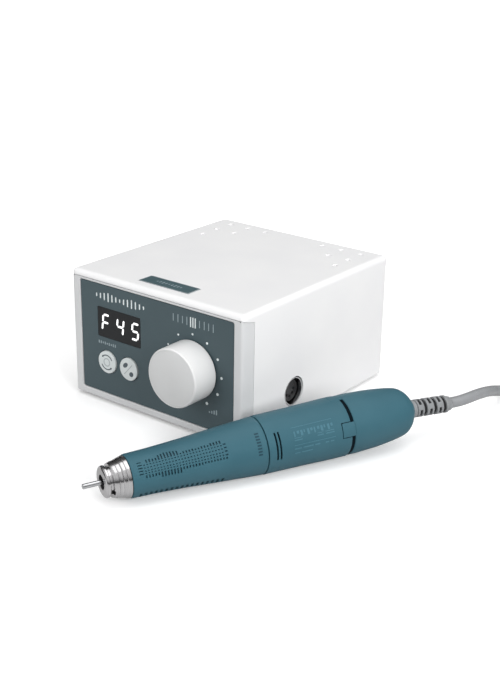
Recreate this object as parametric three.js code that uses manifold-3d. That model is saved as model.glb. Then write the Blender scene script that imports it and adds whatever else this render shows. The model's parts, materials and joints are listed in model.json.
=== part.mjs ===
// A bench control unit for a rotary dental motor, with its motor handpiece lying beside it.
// Millimetres, +Z up, the front panel faces -Y, the handpiece socket is on the +X side.
// The whole object stands on z = 0, and its origin is below the middle of it.

import * as THREE from 'three';
import { mergeVertices } from 'three/addons/utils/BufferGeometryUtils.js';
import Module from 'manifold-3d';

const wasm = await Module();
wasm.setup();

// ---------- driving dimensions ----------

const GAP = 0.3;                     // clearance between pieces that touch

const WIDTH = 112;                   // control unit
const DEPTH = 124;
const HEIGHT = 67;
const FOOT_HEIGHT = 2;
const WALL = 2.5;
const BEZEL_DEPTH = 8;
const BEZEL_INSET = 0.9;             // how much the sides lean in over the bezel's depth
const TOP_ROUND = 2.5;
const FRONT_ROUND = 3;                // the lid's front edge, above the bezel
const BOTTOM = FOOT_HEIGHT;
const TOP = FOOT_HEIGHT + HEIGHT;
const FRONT = -DEPTH / 2;
const REAR = DEPTH / 2;
const SIDE = WIDTH / 2;
const LID_EDGE = TOP - FRONT_ROUND;  // underside of the lid's front lip
const LIP_FALL = 2;                  // how much lower that underside is at the bezel's back

const PANEL = { width: 99.3, height: 58.5, z: 35, thick: 2, recess: 0.4, corner: 1.2 };
const PANEL_FACE = FRONT + PANEL.recess;
const PANEL_BACK = PANEL_FACE + PANEL.thick;
const WINDOW = { width: 29, height: 15.8, x: -23.8, z: 44.3 };
const BUTTON = { radius: 5.95, z: 23.3, proud: 0.9, travel: 1, flange: 7.2 };
const BUTTON_X = { reverse: -32, select: -17.1 };
const KNOB = { x: 24.6, z: 34.6, base: 15, front: 14.9, depth: 15.6, edge: 1.2 };
const SHAFT_RADIUS = 2.5;
const BUSHING_RADIUS = 3.5;
const BOARD_FRONT = -50;             // front face of the board behind the panel

const SOCKET = { y: -21, z: 18, hole: 7.5, depth: 14, recess: 2.4 };
const BADGE = { width: 32, length: 9.6, y: -50.1, thick: 0.8 };
const VENT = { radius: 1.5, pitch: 12.4, fromSide: 11.7, fromRear: 8.7 };
const FOOT = { radius: 5, x: 43, front: -47, rear: 51 };
const SCREW = { x: 48.5, front: -36, rear: 40, shank: 1.4, head: 2.7 };

const INLET = { x: -27, z: 25, width: 27, height: 20, depth: 21, rim: 2 };
const ROCKER = { x: 8, z: 25, width: 13, height: 19, depth: 14, pivot: 2, tipped: 8 };

const HAND = {
  nose: [39.58, -142.82],            // where the axis starts, seen from above
  heading: 64.35,                    // degrees from +X, towards the cord
  tilt: 1.7,                         // degrees, the nose lower than the tail
  rests: { radius: 13.7, at: 76.9 }, // the ring that rests on the bench
  end: 183.3,                        // the strain relief's end
  sag: { from: 157, slope: 0.077 },  // the strain relief hangs a little below the axis
};
const TURNS = 24;                    // facets around the handpiece

const CORD = { radius: 2.75, sides: 8 };
const COIL = { x: 160, y: 130, inner: 19.4, pitch: 5.55, lower: 4, upper: 3 };  // turns in two layers
const COIL_OUTER = COIL.inner + COIL.pitch * COIL.lower;
const TAIL_X = COIL.x + COIL.inner + COIL.pitch * COIL.upper;
const PLUG = { y: 92, radius: 7.3, relief: 16, grip: 30, shell: 12 };

// ---------- materials ----------

const paint = (color, roughness, metalness = 0) =>
  new THREE.MeshStandardMaterial({ color, roughness, metalness });
const look = {
  housing: paint(0xeeeeee, 0.45),
  bezel: paint(0xdedede, 0.45),
  panel: paint(0x505f67, 0.55),
  window: paint(0x1c1d20, 0.15),
  button: paint(0xd9dcdc, 0.4),
  knob: paint(0xe6e6e4, 0.42),
  teal: paint(0x4c7a8a, 0.6),
  rubber: paint(0x2a2a2c, 0.8),
  greyRubber: paint(0x9a9c9e, 0.7),
  cord: paint(0x8e9092, 0.35),
  darkPlastic: paint(0x2b2b2c, 0.5),
  steel: paint(0xc4c6c8, 0.25, 1),
  board: paint(0x1f5a3a, 0.6),
  iron: paint(0x4a4a4c, 0.5, 1),
  copper: paint(0xb4703c, 0.35, 1),
  brass: paint(0xc2a35a, 0.35, 1),
  carbon: paint(0x2f2f31, 0.7),
};

// ---------- solids ----------

function turnedOut(geometry) {
  // A closed mesh of positions only, with its faces pointing out.
  geometry.deleteAttribute('normal');
  geometry.deleteAttribute('uv');
  const merged = mergeVertices(geometry, 1e-4);
  const p = merged.attributes.position;
  const index = [];
  const corner = [new THREE.Vector3(), new THREE.Vector3(), new THREE.Vector3()];
  let volume = 0;
  for (let i = 0; i < merged.index.count; i += 3) {
    const tri = [0, 1, 2].map((k) => merged.index.getX(i + k));
    if (tri[0] === tri[1] || tri[1] === tri[2] || tri[2] === tri[0]) continue;
    tri.forEach((v, k) => corner[k].fromBufferAttribute(p, v));
    volume += corner[0].dot(corner[1].clone().cross(corner[2]));
    index.push(...tri);
  }
  if (volume < 0) index.reverse();
  merged.setIndex(index);
  return merged;
}

function solid(geometry) {
  const closed = turnedOut(geometry);
  return new wasm.Manifold(new wasm.Mesh({
    numProp: 3,
    vertProperties: new Float32Array(closed.attributes.position.array),
    triVerts: new Uint32Array(closed.index.array),
  }));
}

function fromSolid(body) {
  const mesh = body.getMesh();
  const geometry = new THREE.BufferGeometry();
  geometry.setAttribute('position', new THREE.BufferAttribute(mesh.vertProperties, 3));
  geometry.setIndex(new THREE.BufferAttribute(mesh.triVerts, 1));
  return geometry;
}

const cut = (body, ...tools) => fromSolid(tools.reduce((s, t) => s.subtract(solid(t)), solid(body)));
const join = (...bodies) => fromSolid(bodies.slice(1).reduce((s, b) => s.add(solid(b)), solid(bodies[0])));

const block = (x0, x1, y0, y1, z0, z1) =>
  new THREE.BoxGeometry(x1 - x0, y1 - y0, z1 - z0)
    .translate((x0 + x1) / 2, (y0 + y1) / 2, (z0 + z1) / 2);

// Round bars along each axis, from one end to the other.
const barZ = (r, x, y, z0, z1, sides = 20) =>
  new THREE.CylinderGeometry(r, r, z1 - z0, sides).rotateX(Math.PI / 2).translate(x, y, (z0 + z1) / 2);
const barY = (r, x, z, y0, y1, sides = 24) =>
  new THREE.CylinderGeometry(r, r, y1 - y0, sides).translate(x, (y0 + y1) / 2, z);
const barX = (r, y, z, x0, x1, sides = 24) =>
  new THREE.CylinderGeometry(r, r, x1 - x0, sides).rotateZ(Math.PI / 2).translate((x0 + x1) / 2, y, z);

// An outline in X and Z, given a thickness from y0 back to y1.
function slabY(shape, y0, y1) {
  return new THREE.ExtrudeGeometry(shape, { depth: y1 - y0, bevelEnabled: false, curveSegments: 4 })
    .rotateX(Math.PI / 2).translate(0, y1, 0);
}

function roundedRect(x, z, width, height, r) {
  const shape = new THREE.Shape();
  const [x0, x1, z0, z1] = [x - width / 2, x + width / 2, z - height / 2, z + height / 2];
  shape.moveTo(x0 + r, z0);
  shape.lineTo(x1 - r, z0);
  shape.absarc(x1 - r, z0 + r, r, -Math.PI / 2, 0, false);
  shape.lineTo(x1, z1 - r);
  shape.absarc(x1 - r, z1 - r, r, 0, Math.PI / 2, false);
  shape.lineTo(x0 + r, z1);
  shape.absarc(x0 + r, z1 - r, r, Math.PI / 2, Math.PI, false);
  shape.lineTo(x0, z0 + r);
  shape.absarc(x0 + r, z0 + r, r, Math.PI, 1.5 * Math.PI, false);
  return shape;
}

// A turned piece about the Z axis: [distance along the axis, radius] pairs that close on themselves.
function turned(profile, sides = TURNS) {
  const points = profile.map(([along, r]) => new THREE.Vector2(r, along));
  points.push(points[0].clone());
  return new THREE.LatheGeometry(points, sides).rotateX(Math.PI / 2);
}

const pipe = (s0, s1, outer, inner, sides = TURNS) =>
  turned([[s0, inner], [s0, outer], [s1, outer], [s1, inner]], sides);
const rod = (s0, s1, r, sides = TURNS) => turned([[s0, 0], [s0, r], [s1, r], [s1, 0]], sides);

// ---------- the scene graph ----------

const root = new THREE.Group();

function add(parent, name, geometry, material) {
  const mesh = new THREE.Mesh(turnedOut(geometry), material);
  mesh.name = name;
  parent.add(mesh);
  return mesh;
}

function mirrored(build) {
  for (const side of [-1, 1]) for (const end of ['front', 'rear']) build(side, end);
}

// ---------- control unit: housing ----------

function housingOutline(inset, low, high, r) {
  const shape = new THREE.Shape();
  const x = SIDE - inset;
  shape.moveTo(-x, low);
  shape.lineTo(x, low);
  shape.lineTo(x, high - r);
  shape.absarc(x - r, high - r, r, 0, Math.PI / 2, false);
  shape.lineTo(-x + r, high);
  shape.absarc(-x + r, high - r, r, Math.PI / 2, Math.PI, false);
  return shape;
}

// An outline in Y and Z, given the width of the unit and overlap mm more at each side.
function slabX(points, overlap) {
  const shape = new THREE.Shape(points.map(([y, z]) => new THREE.Vector2(y, z)));
  return new THREE.ExtrudeGeometry(shape, { depth: WIDTH + 2 * overlap, bevelEnabled: false })
    .rotateX(Math.PI / 2).rotateZ(Math.PI / 2).translate(-SIDE - overlap, 0, 0);
}

// What the lid's front edge loses to its rounding, along the whole width.
function frontRounding() {
  const r = FRONT_ROUND;
  const points = [[FRONT - 1, TOP - r]];
  for (let i = 0; i <= 4; i++) {
    const a = (i / 4) * Math.PI / 2;
    points.push([FRONT + r - r * Math.cos(a), TOP - r + r * Math.sin(a)]);
  }
  points.push([FRONT + r, TOP + 1], [FRONT - 1, TOP + 1]);
  return slabX(points, 2);
}

// The lip's underside falls towards the back of the bezel.
const lipHeight = (y) => LID_EDGE - LIP_FALL * (y - FRONT) / BEZEL_DEPTH;

function topCover() {
  const y0 = FRONT + BEZEL_DEPTH;
  const outer = slabY(housingOutline(0, BOTTOM, TOP, TOP_ROUND), FRONT, REAR);
  const inner = slabY(housingOutline(WALL, BOTTOM - 1, TOP - WALL, 0.5), y0 - 1, REAR - WALL);
  const frontRoom = slabX([[FRONT - 1, BOTTOM - 1], [y0, BOTTOM - 1], [y0, lipHeight(y0)],
    [FRONT, LID_EDGE], [FRONT - 1, LID_EDGE]], 1);
  const holes = [];
  for (const side of [-1, 1]) {
    for (let row = 0; row < 3; row++) {
      for (let col = 0; col < 3 - row; col++) {
        const x = side * (SIDE - VENT.fromSide - VENT.pitch * col);
        const y = REAR - VENT.fromRear - VENT.pitch * row;
        holes.push(barZ(VENT.radius, x, y, TOP - 5, TOP + 1, 12));
      }
    }
  }
  holes.push(barX(SOCKET.hole + GAP, SOCKET.y, SOCKET.z, SIDE - 5, SIDE + 1, 28));
  for (const h of [INLET, ROCKER]) {
    const opening = roundedRect(h.x, h.z, h.width + 2 * GAP, h.height + 2 * GAP, 1);
    holes.push(slabY(opening, REAR - 5, REAR + 1));
  }
  const pocket = block(-BADGE.width / 2 - GAP, BADGE.width / 2 + GAP,
    BADGE.y - BADGE.length / 2 - GAP, BADGE.y + BADGE.length / 2 + GAP, TOP - 0.9, TOP + 1);
  holes.push(pocket);
  const bosses = [];
  mirrored((side, end) => {
    const x = side * SCREW.x;
    const wall = side * (SIDE - WALL + 0.5);
    bosses.push(block(Math.min(x - side * 4, wall), Math.max(x - side * 4, wall),
      SCREW[end] - 4, SCREW[end] + 4, BOTTOM + 3, BOTTOM + 13));
    holes.push(barZ(SCREW.shank + GAP, x, SCREW[end], BOTTOM + 2, BOTTOM + 11, 12));
  });
  holes.push(frontRoom, frontRounding());
  const shell = solid(outer).subtract(solid(inner));
  const withBosses = bosses.reduce((s, b) => s.add(solid(b)), shell);
  return fromSolid(holes.reduce((s, h) => s.subtract(solid(h)), withBosses));
}

function frontBezel() {
  const y1 = FRONT + BEZEL_DEPTH - GAP;
  const bezel = slabX([[FRONT, BOTTOM], [y1, BOTTOM], [y1, lipHeight(y1) - GAP],
    [FRONT, LID_EDGE - GAP]], 0);
  const trims = [-1, 1].map((side) => {
    // the side faces lean in towards the front
    const shape = new THREE.Shape();
    shape.moveTo(side * (SIDE - BEZEL_INSET), 0);
    shape.lineTo(side * SIDE, -BEZEL_DEPTH);
    shape.lineTo(side * (SIDE + 3), -BEZEL_DEPTH);
    shape.lineTo(side * (SIDE + 3), 1);
    shape.lineTo(side * (SIDE - BEZEL_INSET), 1);
    return new THREE.ExtrudeGeometry(shape, { depth: HEIGHT + 4, bevelEnabled: false })
      .scale(1, -1, 1).translate(0, FRONT, BOTTOM - 2);
  });
  const pocket = slabY(
    roundedRect(0, PANEL.z, PANEL.width + 2 * GAP, PANEL.height + 2 * GAP, PANEL.corner),
    FRONT - 1, PANEL_BACK + GAP);
  const through = slabY(roundedRect(0, PANEL.z, PANEL.width - 6, PANEL.height - 6, 1),
    FRONT - 1, y1 + 1);
  return cut(bezel, ...trims, pocket, through);
}

function baseTray() {
  const x = SIDE - WALL - GAP;
  const plate = block(-x, x, FRONT + BEZEL_DEPTH, REAR - WALL - GAP, BOTTOM, BOTTOM + 2.2);
  const posts = [[-40, -24], [-40, 50], [-4, -24], [-4, 50]]
    .map(([px, py]) => barZ(3, px, py, BOTTOM + 1, BOTTOM + 7, 12));
  const holes = [];
  mirrored((side, end) => {
    holes.push(barZ(SCREW.shank + GAP, side * SCREW.x, SCREW[end], BOTTOM - 1, BOTTOM + 4, 12));
    holes.push(barZ(SCREW.head + GAP, side * SCREW.x, SCREW[end], BOTTOM - 1, BOTTOM + 1.2, 16));
  });
  const body = posts.reduce((s, p) => s.add(solid(p)), solid(plate));
  return fromSolid(holes.reduce((s, h) => s.subtract(solid(h)), body));
}

function housing(group) {
  add(group, 'top_cover', topCover(), look.housing);
  add(group, 'front_bezel', frontBezel(), look.bezel);
  add(group, 'base_tray', baseTray(), look.housing);
  add(group, 'nameplate', block(-BADGE.width / 2, BADGE.width / 2, BADGE.y - BADGE.length / 2,
    BADGE.y + BADGE.length / 2, TOP - 0.9 + GAP, TOP - 0.9 + GAP + BADGE.thick), look.panel);
  mirrored((side, end) => {
    const label = `${end}_${side < 0 ? 'left' : 'right'}`;
    add(group, `foot_${label}`,
      barZ(FOOT.radius, side * FOOT.x, FOOT[end], 0, BOTTOM - GAP, 20), look.rubber);
    const [x, y] = [side * SCREW.x, SCREW[end]];
    add(group, `housing_screw_${label}`, join(
      barZ(SCREW.head, x, y, BOTTOM - 0.6, BOTTOM + 0.9, 16),
      barZ(SCREW.shank, x, y, BOTTOM + 0.5, BOTTOM + 10, 12)), look.steel);
  });
}

// ---------- control unit: front panel and controls ----------

function frontPanel() {
  const plate = roundedRect(0, PANEL.z, PANEL.width, PANEL.height, PANEL.corner);
  const opening = roundedRect(WINDOW.x, WINDOW.z, WINDOW.width + 2 * GAP, WINDOW.height + 2 * GAP, 0.6);
  const holes = [slabY(opening, FRONT - 1, PANEL_BACK + 1)];
  for (const x of Object.values(BUTTON_X)) {
    holes.push(barY(BUTTON.radius + GAP, x, BUTTON.z, FRONT - 1, PANEL_BACK + 1, 28));
  }
  holes.push(barY(BUSHING_RADIUS + GAP, KNOB.x, KNOB.z, FRONT - 1, PANEL_BACK + 1, 20));
  return cut(slabY(plate, PANEL_FACE, PANEL_BACK), ...holes);
}

function aboutKnob(profile, sides) {
  // profile runs from the panel face towards the front
  return turned(profile, sides).rotateX(Math.PI / 2).translate(KNOB.x, PANEL_FACE, KNOB.z);
}

function speedKnob() {
  const lift = 0.5;
  const { base, front, depth, edge } = KNOB;
  return aboutKnob([
    [lift, 7.4], [lift, base], [depth - edge, front], [depth - 0.3 * edge, front - 0.3 * edge],
    [depth, front - edge], [depth, 0], [depth - 3, 0], [depth - 3, SHAFT_RADIUS + GAP],
    [4.6, SHAFT_RADIUS + GAP], [4.6, 7.4],
  ], 32);
}

function controls(group) {
  add(group, 'front_panel', frontPanel(), look.panel);
  add(group, 'display_window', slabY(roundedRect(WINDOW.x, WINDOW.z, WINDOW.width, WINDOW.height, 0.6),
    PANEL_FACE + 0.1, PANEL_BACK), look.window);
  add(group, 'display_module', block(WINDOW.x - 13.5, WINDOW.x + 13.5, PANEL_BACK + GAP,
    BOARD_FRONT - GAP, WINDOW.z - 7, WINDOW.z + 7), look.darkPlastic);
  for (const [name, x] of Object.entries(BUTTON_X)) {
    const y0 = PANEL_FACE - BUTTON.proud;
    add(group, `button_${name}`, join(
      barY(BUTTON.radius, x, BUTTON.z, y0, PANEL_BACK + 2, 28),
      barY(BUTTON.flange, x, BUTTON.z, PANEL_BACK + GAP, PANEL_BACK + 1.6, 20),
      barY(2, x, BUTTON.z, PANEL_BACK + 1, -55.4, 12)), look.button);
    add(group, `tact_switch_${name}`, join(
      block(x - 3, x + 3, -53.2, BOARD_FRONT - GAP, BUTTON.z - 3, BUTTON.z + 3),
      barY(1.6, x, BUTTON.z, -54.2, -53, 12)), look.darkPlastic);
  }
  add(group, 'speed_knob', speedKnob(), look.knob);
  const potTop = PANEL_BACK + GAP;
  add(group, 'pot_shaft', barY(SHAFT_RADIUS, KNOB.x, KNOB.z, PANEL_FACE - KNOB.depth + 3 + GAP,
    potTop + 2, 16), look.steel);
  add(group, 'potentiometer', cut(join(
    barY(8, KNOB.x, KNOB.z, potTop, BOARD_FRONT - GAP, 24),
    barY(BUSHING_RADIUS, KNOB.x, KNOB.z, PANEL_FACE - 3, potTop + 1, 20)),
  barY(SHAFT_RADIUS + GAP, KNOB.x, KNOB.z, PANEL_FACE - 4, potTop + 2 + GAP, 20)), look.iron);
  const nut = new THREE.CylinderGeometry(5.6, 5.6, 2, 6)
    .translate(KNOB.x, PANEL_FACE - GAP - 1, KNOB.z);
  add(group, 'pot_nut', cut(nut,
    barY(BUSHING_RADIUS + GAP, KNOB.x, KNOB.z, PANEL_FACE - 5, PANEL_FACE + 2, 20)), look.steel);
  add(group, 'control_board', block(-46, 46, BOARD_FRONT, BOARD_FRONT + 1.6, 11, 59), look.board);
}

// ---------- control unit: inside, side socket and rear ----------

function socketInsert() {
  const face = SIDE - SOCKET.recess;
  const body = barX(5.7, SOCKET.y, SOCKET.z, face - 9, face, 28);
  const holes = [];
  const ring = 3.3;
  for (let i = 0; i < 5; i++) {
    const a = (180 + 45 * i) * Math.PI / 180;
    holes.push(barX(0.8, SOCKET.y + ring * Math.cos(a), SOCKET.z + ring * Math.sin(a),
      face - 6, face + 1, 10));
  }
  holes.push(block(face - 6, face + 1, SOCKET.y - 1, SOCKET.y + 1, SOCKET.z + 4.6, SOCKET.z + 8));
  return cut(body, ...holes);
}

function mainBoard() {
  const z = BOTTOM + 7 + GAP;
  return join(
    block(-44, 0, -28, 54, z, z + 1.6),
    block(-42, -30, -18, 4, z + 1, z + 20),             // heat sink with the driver stage
    barZ(5, -20, -14, z + 1, z + 16, 16),                // smoothing capacitors
    barZ(5, -8, -14, z + 1, z + 16, 16),
    block(-24, -6, 2, 14, z + 1, z + 5));
}

function transformer() {
  const z = BOTTOM + 2.2 + GAP;
  return join(
    block(12, 40, 8, 48, z, z + 30),                     // iron core
    block(8, 44, 17, 39, z + 6, z + 24));                // windings on both sides of it
}

function powerInlet() {
  const { x, z, width, height, depth } = INLET;
  const flange = slabY(roundedRect(x, z, width + 8, height + 6, 2), REAR + GAP, REAR + INLET.rim);
  const body = slabY(roundedRect(x, z, width, height, 1), REAR - depth, REAR + 1);
  const recess = slabY(roundedRect(x, z, width - 3, height - 3, 2), REAR - depth + 3, REAR + 3);
  const pins = [[-7, -1.5], [0, 2.5], [7, -1.5]].map(([dx, dz]) =>
    block(x + dx - 1, x + dx + 1, REAR - depth + 2, REAR - 7, z + dz - 2, z + dz + 2));
  const cup = solid(flange).add(solid(body)).subtract(solid(recess));
  return fromSolid(pins.reduce((s, p) => s.add(solid(p)), cup));
}

function rockerFrame() {
  const { x, z, width, height, depth } = ROCKER;
  const flange = slabY(roundedRect(x, z, width + 3, height + 3, 1), REAR + GAP, REAR + 1.8);
  const body = slabY(roundedRect(x, z, width, height, 1), REAR - depth, REAR + 1);
  const well = slabY(roundedRect(x, z, width - 2.4, height - 2.4, 0.6), REAR - depth + 2, REAR + 3);
  return fromSolid(solid(flange).add(solid(body)).subtract(solid(well)));
}

function rockerKey() {
  // a shallow V seen from the side, on a pivot just inside the rear wall, its upper half pressed in
  const { x, z, width, height, pivot, tipped } = ROCKER;
  const half = height / 2 - 2;
  const thick = width - 4;
  const shape = new THREE.Shape();
  shape.moveTo(-half, 1.2);
  shape.lineTo(-half, 4.6);
  shape.lineTo(0, 3.4);
  shape.lineTo(half, 4.6);
  shape.lineTo(half, 1.2);
  shape.lineTo(2.2, -4.5);
  shape.lineTo(-2.2, -4.5);
  return new THREE.ExtrudeGeometry(shape, { depth: thick, bevelEnabled: false })
    .translate(0, 0, -thick / 2).rotateY(-Math.PI / 2)
    .rotateX(THREE.MathUtils.degToRad(tipped)).translate(x, REAR - pivot, z);
}

function insides(group) {
  add(group, 'socket_shell', cut(
    barX(SOCKET.hole, SOCKET.y, SOCKET.z, SIDE - SOCKET.depth, SIDE - 0.4, 28),
    barX(SOCKET.hole - 0.8, SOCKET.y, SOCKET.z, SIDE - SOCKET.depth + 1, SIDE + 1, 28)), look.steel);
  add(group, 'socket_insert', socketInsert(), look.darkPlastic);
  add(group, 'main_board', mainBoard(), look.board);
  add(group, 'power_transformer', transformer(), look.iron);
  add(group, 'power_inlet', powerInlet(), look.darkPlastic);
  add(group, 'rocker_frame', rockerFrame(), look.darkPlastic);
  add(group, 'power_rocker', rockerKey(), look.darkPlastic);
}

// ---------- handpiece: all of it is turned about its own axis ----------

const tilt = THREE.MathUtils.degToRad(HAND.tilt);
const heading = THREE.MathUtils.degToRad(HAND.heading);
const axis = new THREE.Vector3(
  Math.cos(tilt) * Math.cos(heading), Math.cos(tilt) * Math.sin(heading), Math.sin(tilt));
const handLeft = new THREE.Vector3(-Math.sin(heading), Math.cos(heading), 0);
const noseHeight = HAND.rests.radius * Math.cos(tilt) - HAND.rests.at * Math.sin(tilt);
const nose = new THREE.Vector3(HAND.nose[0], HAND.nose[1], noseHeight);
const handUp = new THREE.Vector3().crossVectors(axis, handLeft);
const sagAt = (s) => HAND.sag.slope * Math.max(0, s - HAND.sag.from);

function collet() {
  const slots = [0, 60, 120].map((deg) =>
    new THREE.BoxGeometry(8, 0.6, 14).translate(0, 0, 10).rotateZ(deg * Math.PI / 180));
  return cut(pipe(4, 27, 2.9, 1.5, 24), ...slots);
}

function colletSpring() {
  const turns = 4;
  const perTurn = 8;
  const points = [];
  for (let i = 0; i <= turns * perTurn; i++) {
    const a = (i / perTurn) * 2 * Math.PI;
    points.push(new THREE.Vector3(5.6 * Math.cos(a), 5.6 * Math.sin(a), 32 + (4 * i) / perTurn));
  }
  const path = new THREE.CatmullRomCurve3(points);
  const section = new THREE.Shape();
  section.absarc(0, 0, 0.6, 0, 2 * Math.PI, false);
  return new THREE.ExtrudeGeometry(section,
    { steps: turns * perTurn, curveSegments: 3, bevelEnabled: false, extrudePath: path });
}

function armature() {
  const slots = [0, 120, 240].map((deg) =>
    new THREE.BoxGeometry(4, 1.6, 30).translate(9, 0, 93).rotateZ(deg * Math.PI / 180));
  return cut(pipe(83, 103, 8.8, 2.8), ...slots);
}

function handpiece(group) {
  add(group, 'bur', rod(-6.6, 25, 1.17, 16), look.steel);
  add(group, 'nose_cone', turned([
    [2.1, 3.3], [2.1, 6.2], [2.5, 6.9], [3.1, 7.2], [3.9, 7.2], [4.3, 6.6], [5.2, 6.6], [5.6, 7.6],
    [7.6, 8.25], [7.9, 8.15], [13, 9.6], [13, 8.7], [20, 8.7], [20, 5.5], [8.4, 5.5], [8.4, 3.3],
  ]), look.steel);
  add(group, 'grip_sleeve', turned([
    [13.3, 9.1], [13.3, 9.7], [14, 9.9], [25, 10.18], [40, 11], [58, 12.35], [76.5, 13.6],
    [76.5, 10.5], [46, 10.5], [42, 9.1],
  ]), look.teal);
  add(group, 'front_tube', pipe(20.3, 76.2, 8.8, 7.6), look.steel);
  add(group, 'collet', collet(), look.steel);
  add(group, 'spindle', turned([
    [8.8, 3.2], [8.8, 3.9], [72, 3.9], [72, 0], [30, 0], [30, 3.2]], 24), look.steel);
  add(group, 'collet_spring', colletSpring(), look.steel);
  add(group, 'front_bearing', pipe(22, 28, 7.3, 4.2, 24), look.steel);
  add(group, 'middle_bearing', pipe(60, 66, 7.3, 4.2, 24), look.steel);
  add(group, 'motor_shaft', rod(72.4, 119, 2.5, 20), look.steel);
  add(group, 'armature', armature(), look.copper);
  add(group, 'commutator', pipe(107, 113, 4, 2.8, 24), look.copper);
  add(group, 'rear_bearing', pipe(115, 119, 6.5, 2.8, 24), look.steel);
  add(group, 'motor_can', turned([
    [77.6, 2.9], [77.6, 12.2], [120, 12.2], [120, 7], [114.7, 7], [114.7, 10.4], [80, 10.4], [80, 2.9],
  ]), look.iron);
  for (const [name, side] of [['brush_upper', 1], ['brush_lower', -1]]) {
    add(group, name, new THREE.BoxGeometry(2.4, 5.4, 4).translate(0, side * 7.2, 110), look.carbon);
  }
  add(group, 'motor_housing', turned([
    [76.9, 12.5], [76.9, 13.7], [95, 13.95], [112, 14.4], [120.6, 14.5], [120.6, 12.5]]), look.teal);
  add(group, 'rear_cap', turned([
    [121, 12.5], [121, 14], [122, 14.25], [126.5, 14.3], [131, 14.1], [136, 13.9], [141, 13.5],
    [146, 12.9], [150, 12.3], [153.5, 11.4], [156.2, 9.6], [158.3, 7.2], [159.6, 5.3], [160, 4.8],
    [155.6, 4.8], [155.6, 8], [148, 10.6], [139, 12],
  ]), look.teal);
  const bore = CORD.radius + GAP;
  const relief = turned([
    [150, bore], [150, 6.6], [155, 6.6], [155, 4.4], [HAND.sag.from, 4.4], [HAND.end - 2.7, 4.4],
    [HAND.end - 2.5, 4], [HAND.end, 3.45], [HAND.end, bore], [HAND.sag.from, bore],
  ], 20);
  const p = relief.attributes.position;
  for (let i = 0; i < p.count; i++) p.setY(i, p.getY(i) - sagAt(p.getZ(i)));
  add(group, 'strain_relief', relief, look.greyRubber);
}

// ---------- the free cord and its plug ----------

// Where the strain relief ends, in the unit's own frame.
const reliefEnd = nose.clone().addScaledVector(axis, HAND.end).addScaledVector(handUp, -sagAt(HAND.end));

// The route along the bench, from the strain relief to the coil.
const leadRoute = [
  [0.13, 0.27, 0], [2.2, 5.6, -0.25], [3.7, 12.5, -0.55], [4.6, 20.4, -1.1], [5.2, 28.4, -2.2],
  [5.3, 36.4, -4.2], [5.0, 44.4, -6.9], [4.3, 52.3, -9.6], [3.3, 60.2, -11.5], [2, 68, -12.2],
  [0.3, 76, -12.2],
];

function cordTube(points, steps) {
  const section = new THREE.Shape();
  section.absarc(0, 0, CORD.radius, 0, 2 * Math.PI, false);
  return new THREE.ExtrudeGeometry(section, {
    steps, curveSegments: CORD.sides / 2, bevelEnabled: false,
    extrudePath: new THREE.CatmullRomCurve3(points, false, 'centripetal'),
  });
}

function alongPlug(profile, sides) {
  // profile runs from the cord end of the plug towards its pins
  return turned(profile, sides).rotateX(Math.PI / 2).translate(TAIL_X, PLUG.y, PLUG.radius);
}

function cord(group) {
  const bundle = CORD.radius + 0.1;
  const coilTop = 4 * CORD.radius + 0.1;
  const clear = 22;                  // the tube stops this far before the coil's widest point
  const lead = leadRoute.map(([x, y, z]) => new THREE.Vector3(
    reliefEnd.x + x, reliefEnd.y + y, Math.max(reliefEnd.z + z, CORD.radius + 0.05)));
  lead.push(new THREE.Vector3(COIL.x - COIL_OUTER, COIL.y - clear, CORD.radius + 0.05));
  add(group, 'cord_lead', cordTube(lead, 16), look.cord);
  add(group, 'cord_coil', turned([
    [0.02, COIL.inner - bundle], [0.02, COIL_OUTER + bundle],
    [coilTop, COIL_OUTER + bundle], [coilTop, COIL.inner - bundle],
  ], 32).translate(COIL.x, COIL.y, 0), look.cord);
  add(group, 'cord_tail', cordTube([
    new THREE.Vector3(TAIL_X, PLUG.y + 7.8, 3 * CORD.radius),
    new THREE.Vector3(TAIL_X, PLUG.y + 5, 3 * CORD.radius - 0.5),
    new THREE.Vector3(TAIL_X, PLUG.y + 2.5, PLUG.radius + 0.03),
    new THREE.Vector3(TAIL_X, PLUG.y + GAP, PLUG.radius)], 4), look.cord);
  const { radius, relief, grip, shell } = PLUG;
  add(group, 'plug_strain_relief',
    alongPlug([[0, 0], [0, 3.2], [relief, 5], [relief, 0]], 20), look.rubber);
  const g = relief + GAP;
  add(group, 'plug_grip', alongPlug([
    [g, 0], [g, 5.6], [g + 1.6, radius], [g + grip, radius], [g + grip, 0]], 24), look.darkPlastic);
  const s = g + grip + GAP;
  add(group, 'plug_shell', alongPlug([
    [s, 0], [s, 6.6], [s + shell, 6.6], [s + shell, 6], [s + 3, 6], [s + 3, 0]], 24), look.steel);
  const insert = alongPlug([
    [s + 3 + GAP, 0], [s + 3 + GAP, 5.6], [s + 5, 5.6], [s + 5, 0]], 20);
  const pins = [];
  for (let i = 0; i < 5; i++) {
    const a = (180 + 45 * i) * Math.PI / 180;
    pins.push(barY(0.7, TAIL_X + 3.3 * Math.cos(a), PLUG.radius + 3.3 * Math.sin(a),
      PLUG.y - s - shell + 1, PLUG.y - s - 4, 8));
  }
  add(group, 'plug_insert', join(insert, ...pins), look.brass);
}

// ---------- assembly ----------

const unit = new THREE.Group();
housing(unit);
controls(unit);
insides(unit);

const hand = new THREE.Group();
handpiece(hand);
hand.position.copy(nose);
hand.quaternion.setFromRotationMatrix(new THREE.Matrix4().makeBasis(handLeft, handUp, axis));

const free = new THREE.Group();
cord(free);

root.add(unit, hand, free);

// The origin is below the middle of everything but the free cord.
root.updateMatrixWorld(true);
const bounds = new THREE.Box3();
for (const group of [unit, hand]) bounds.expandByObject(group, true);
const middle = bounds.getCenter(new THREE.Vector3());
root.position.set(-middle.x, -middle.y, -bounds.min.z);

export default root;
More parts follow.
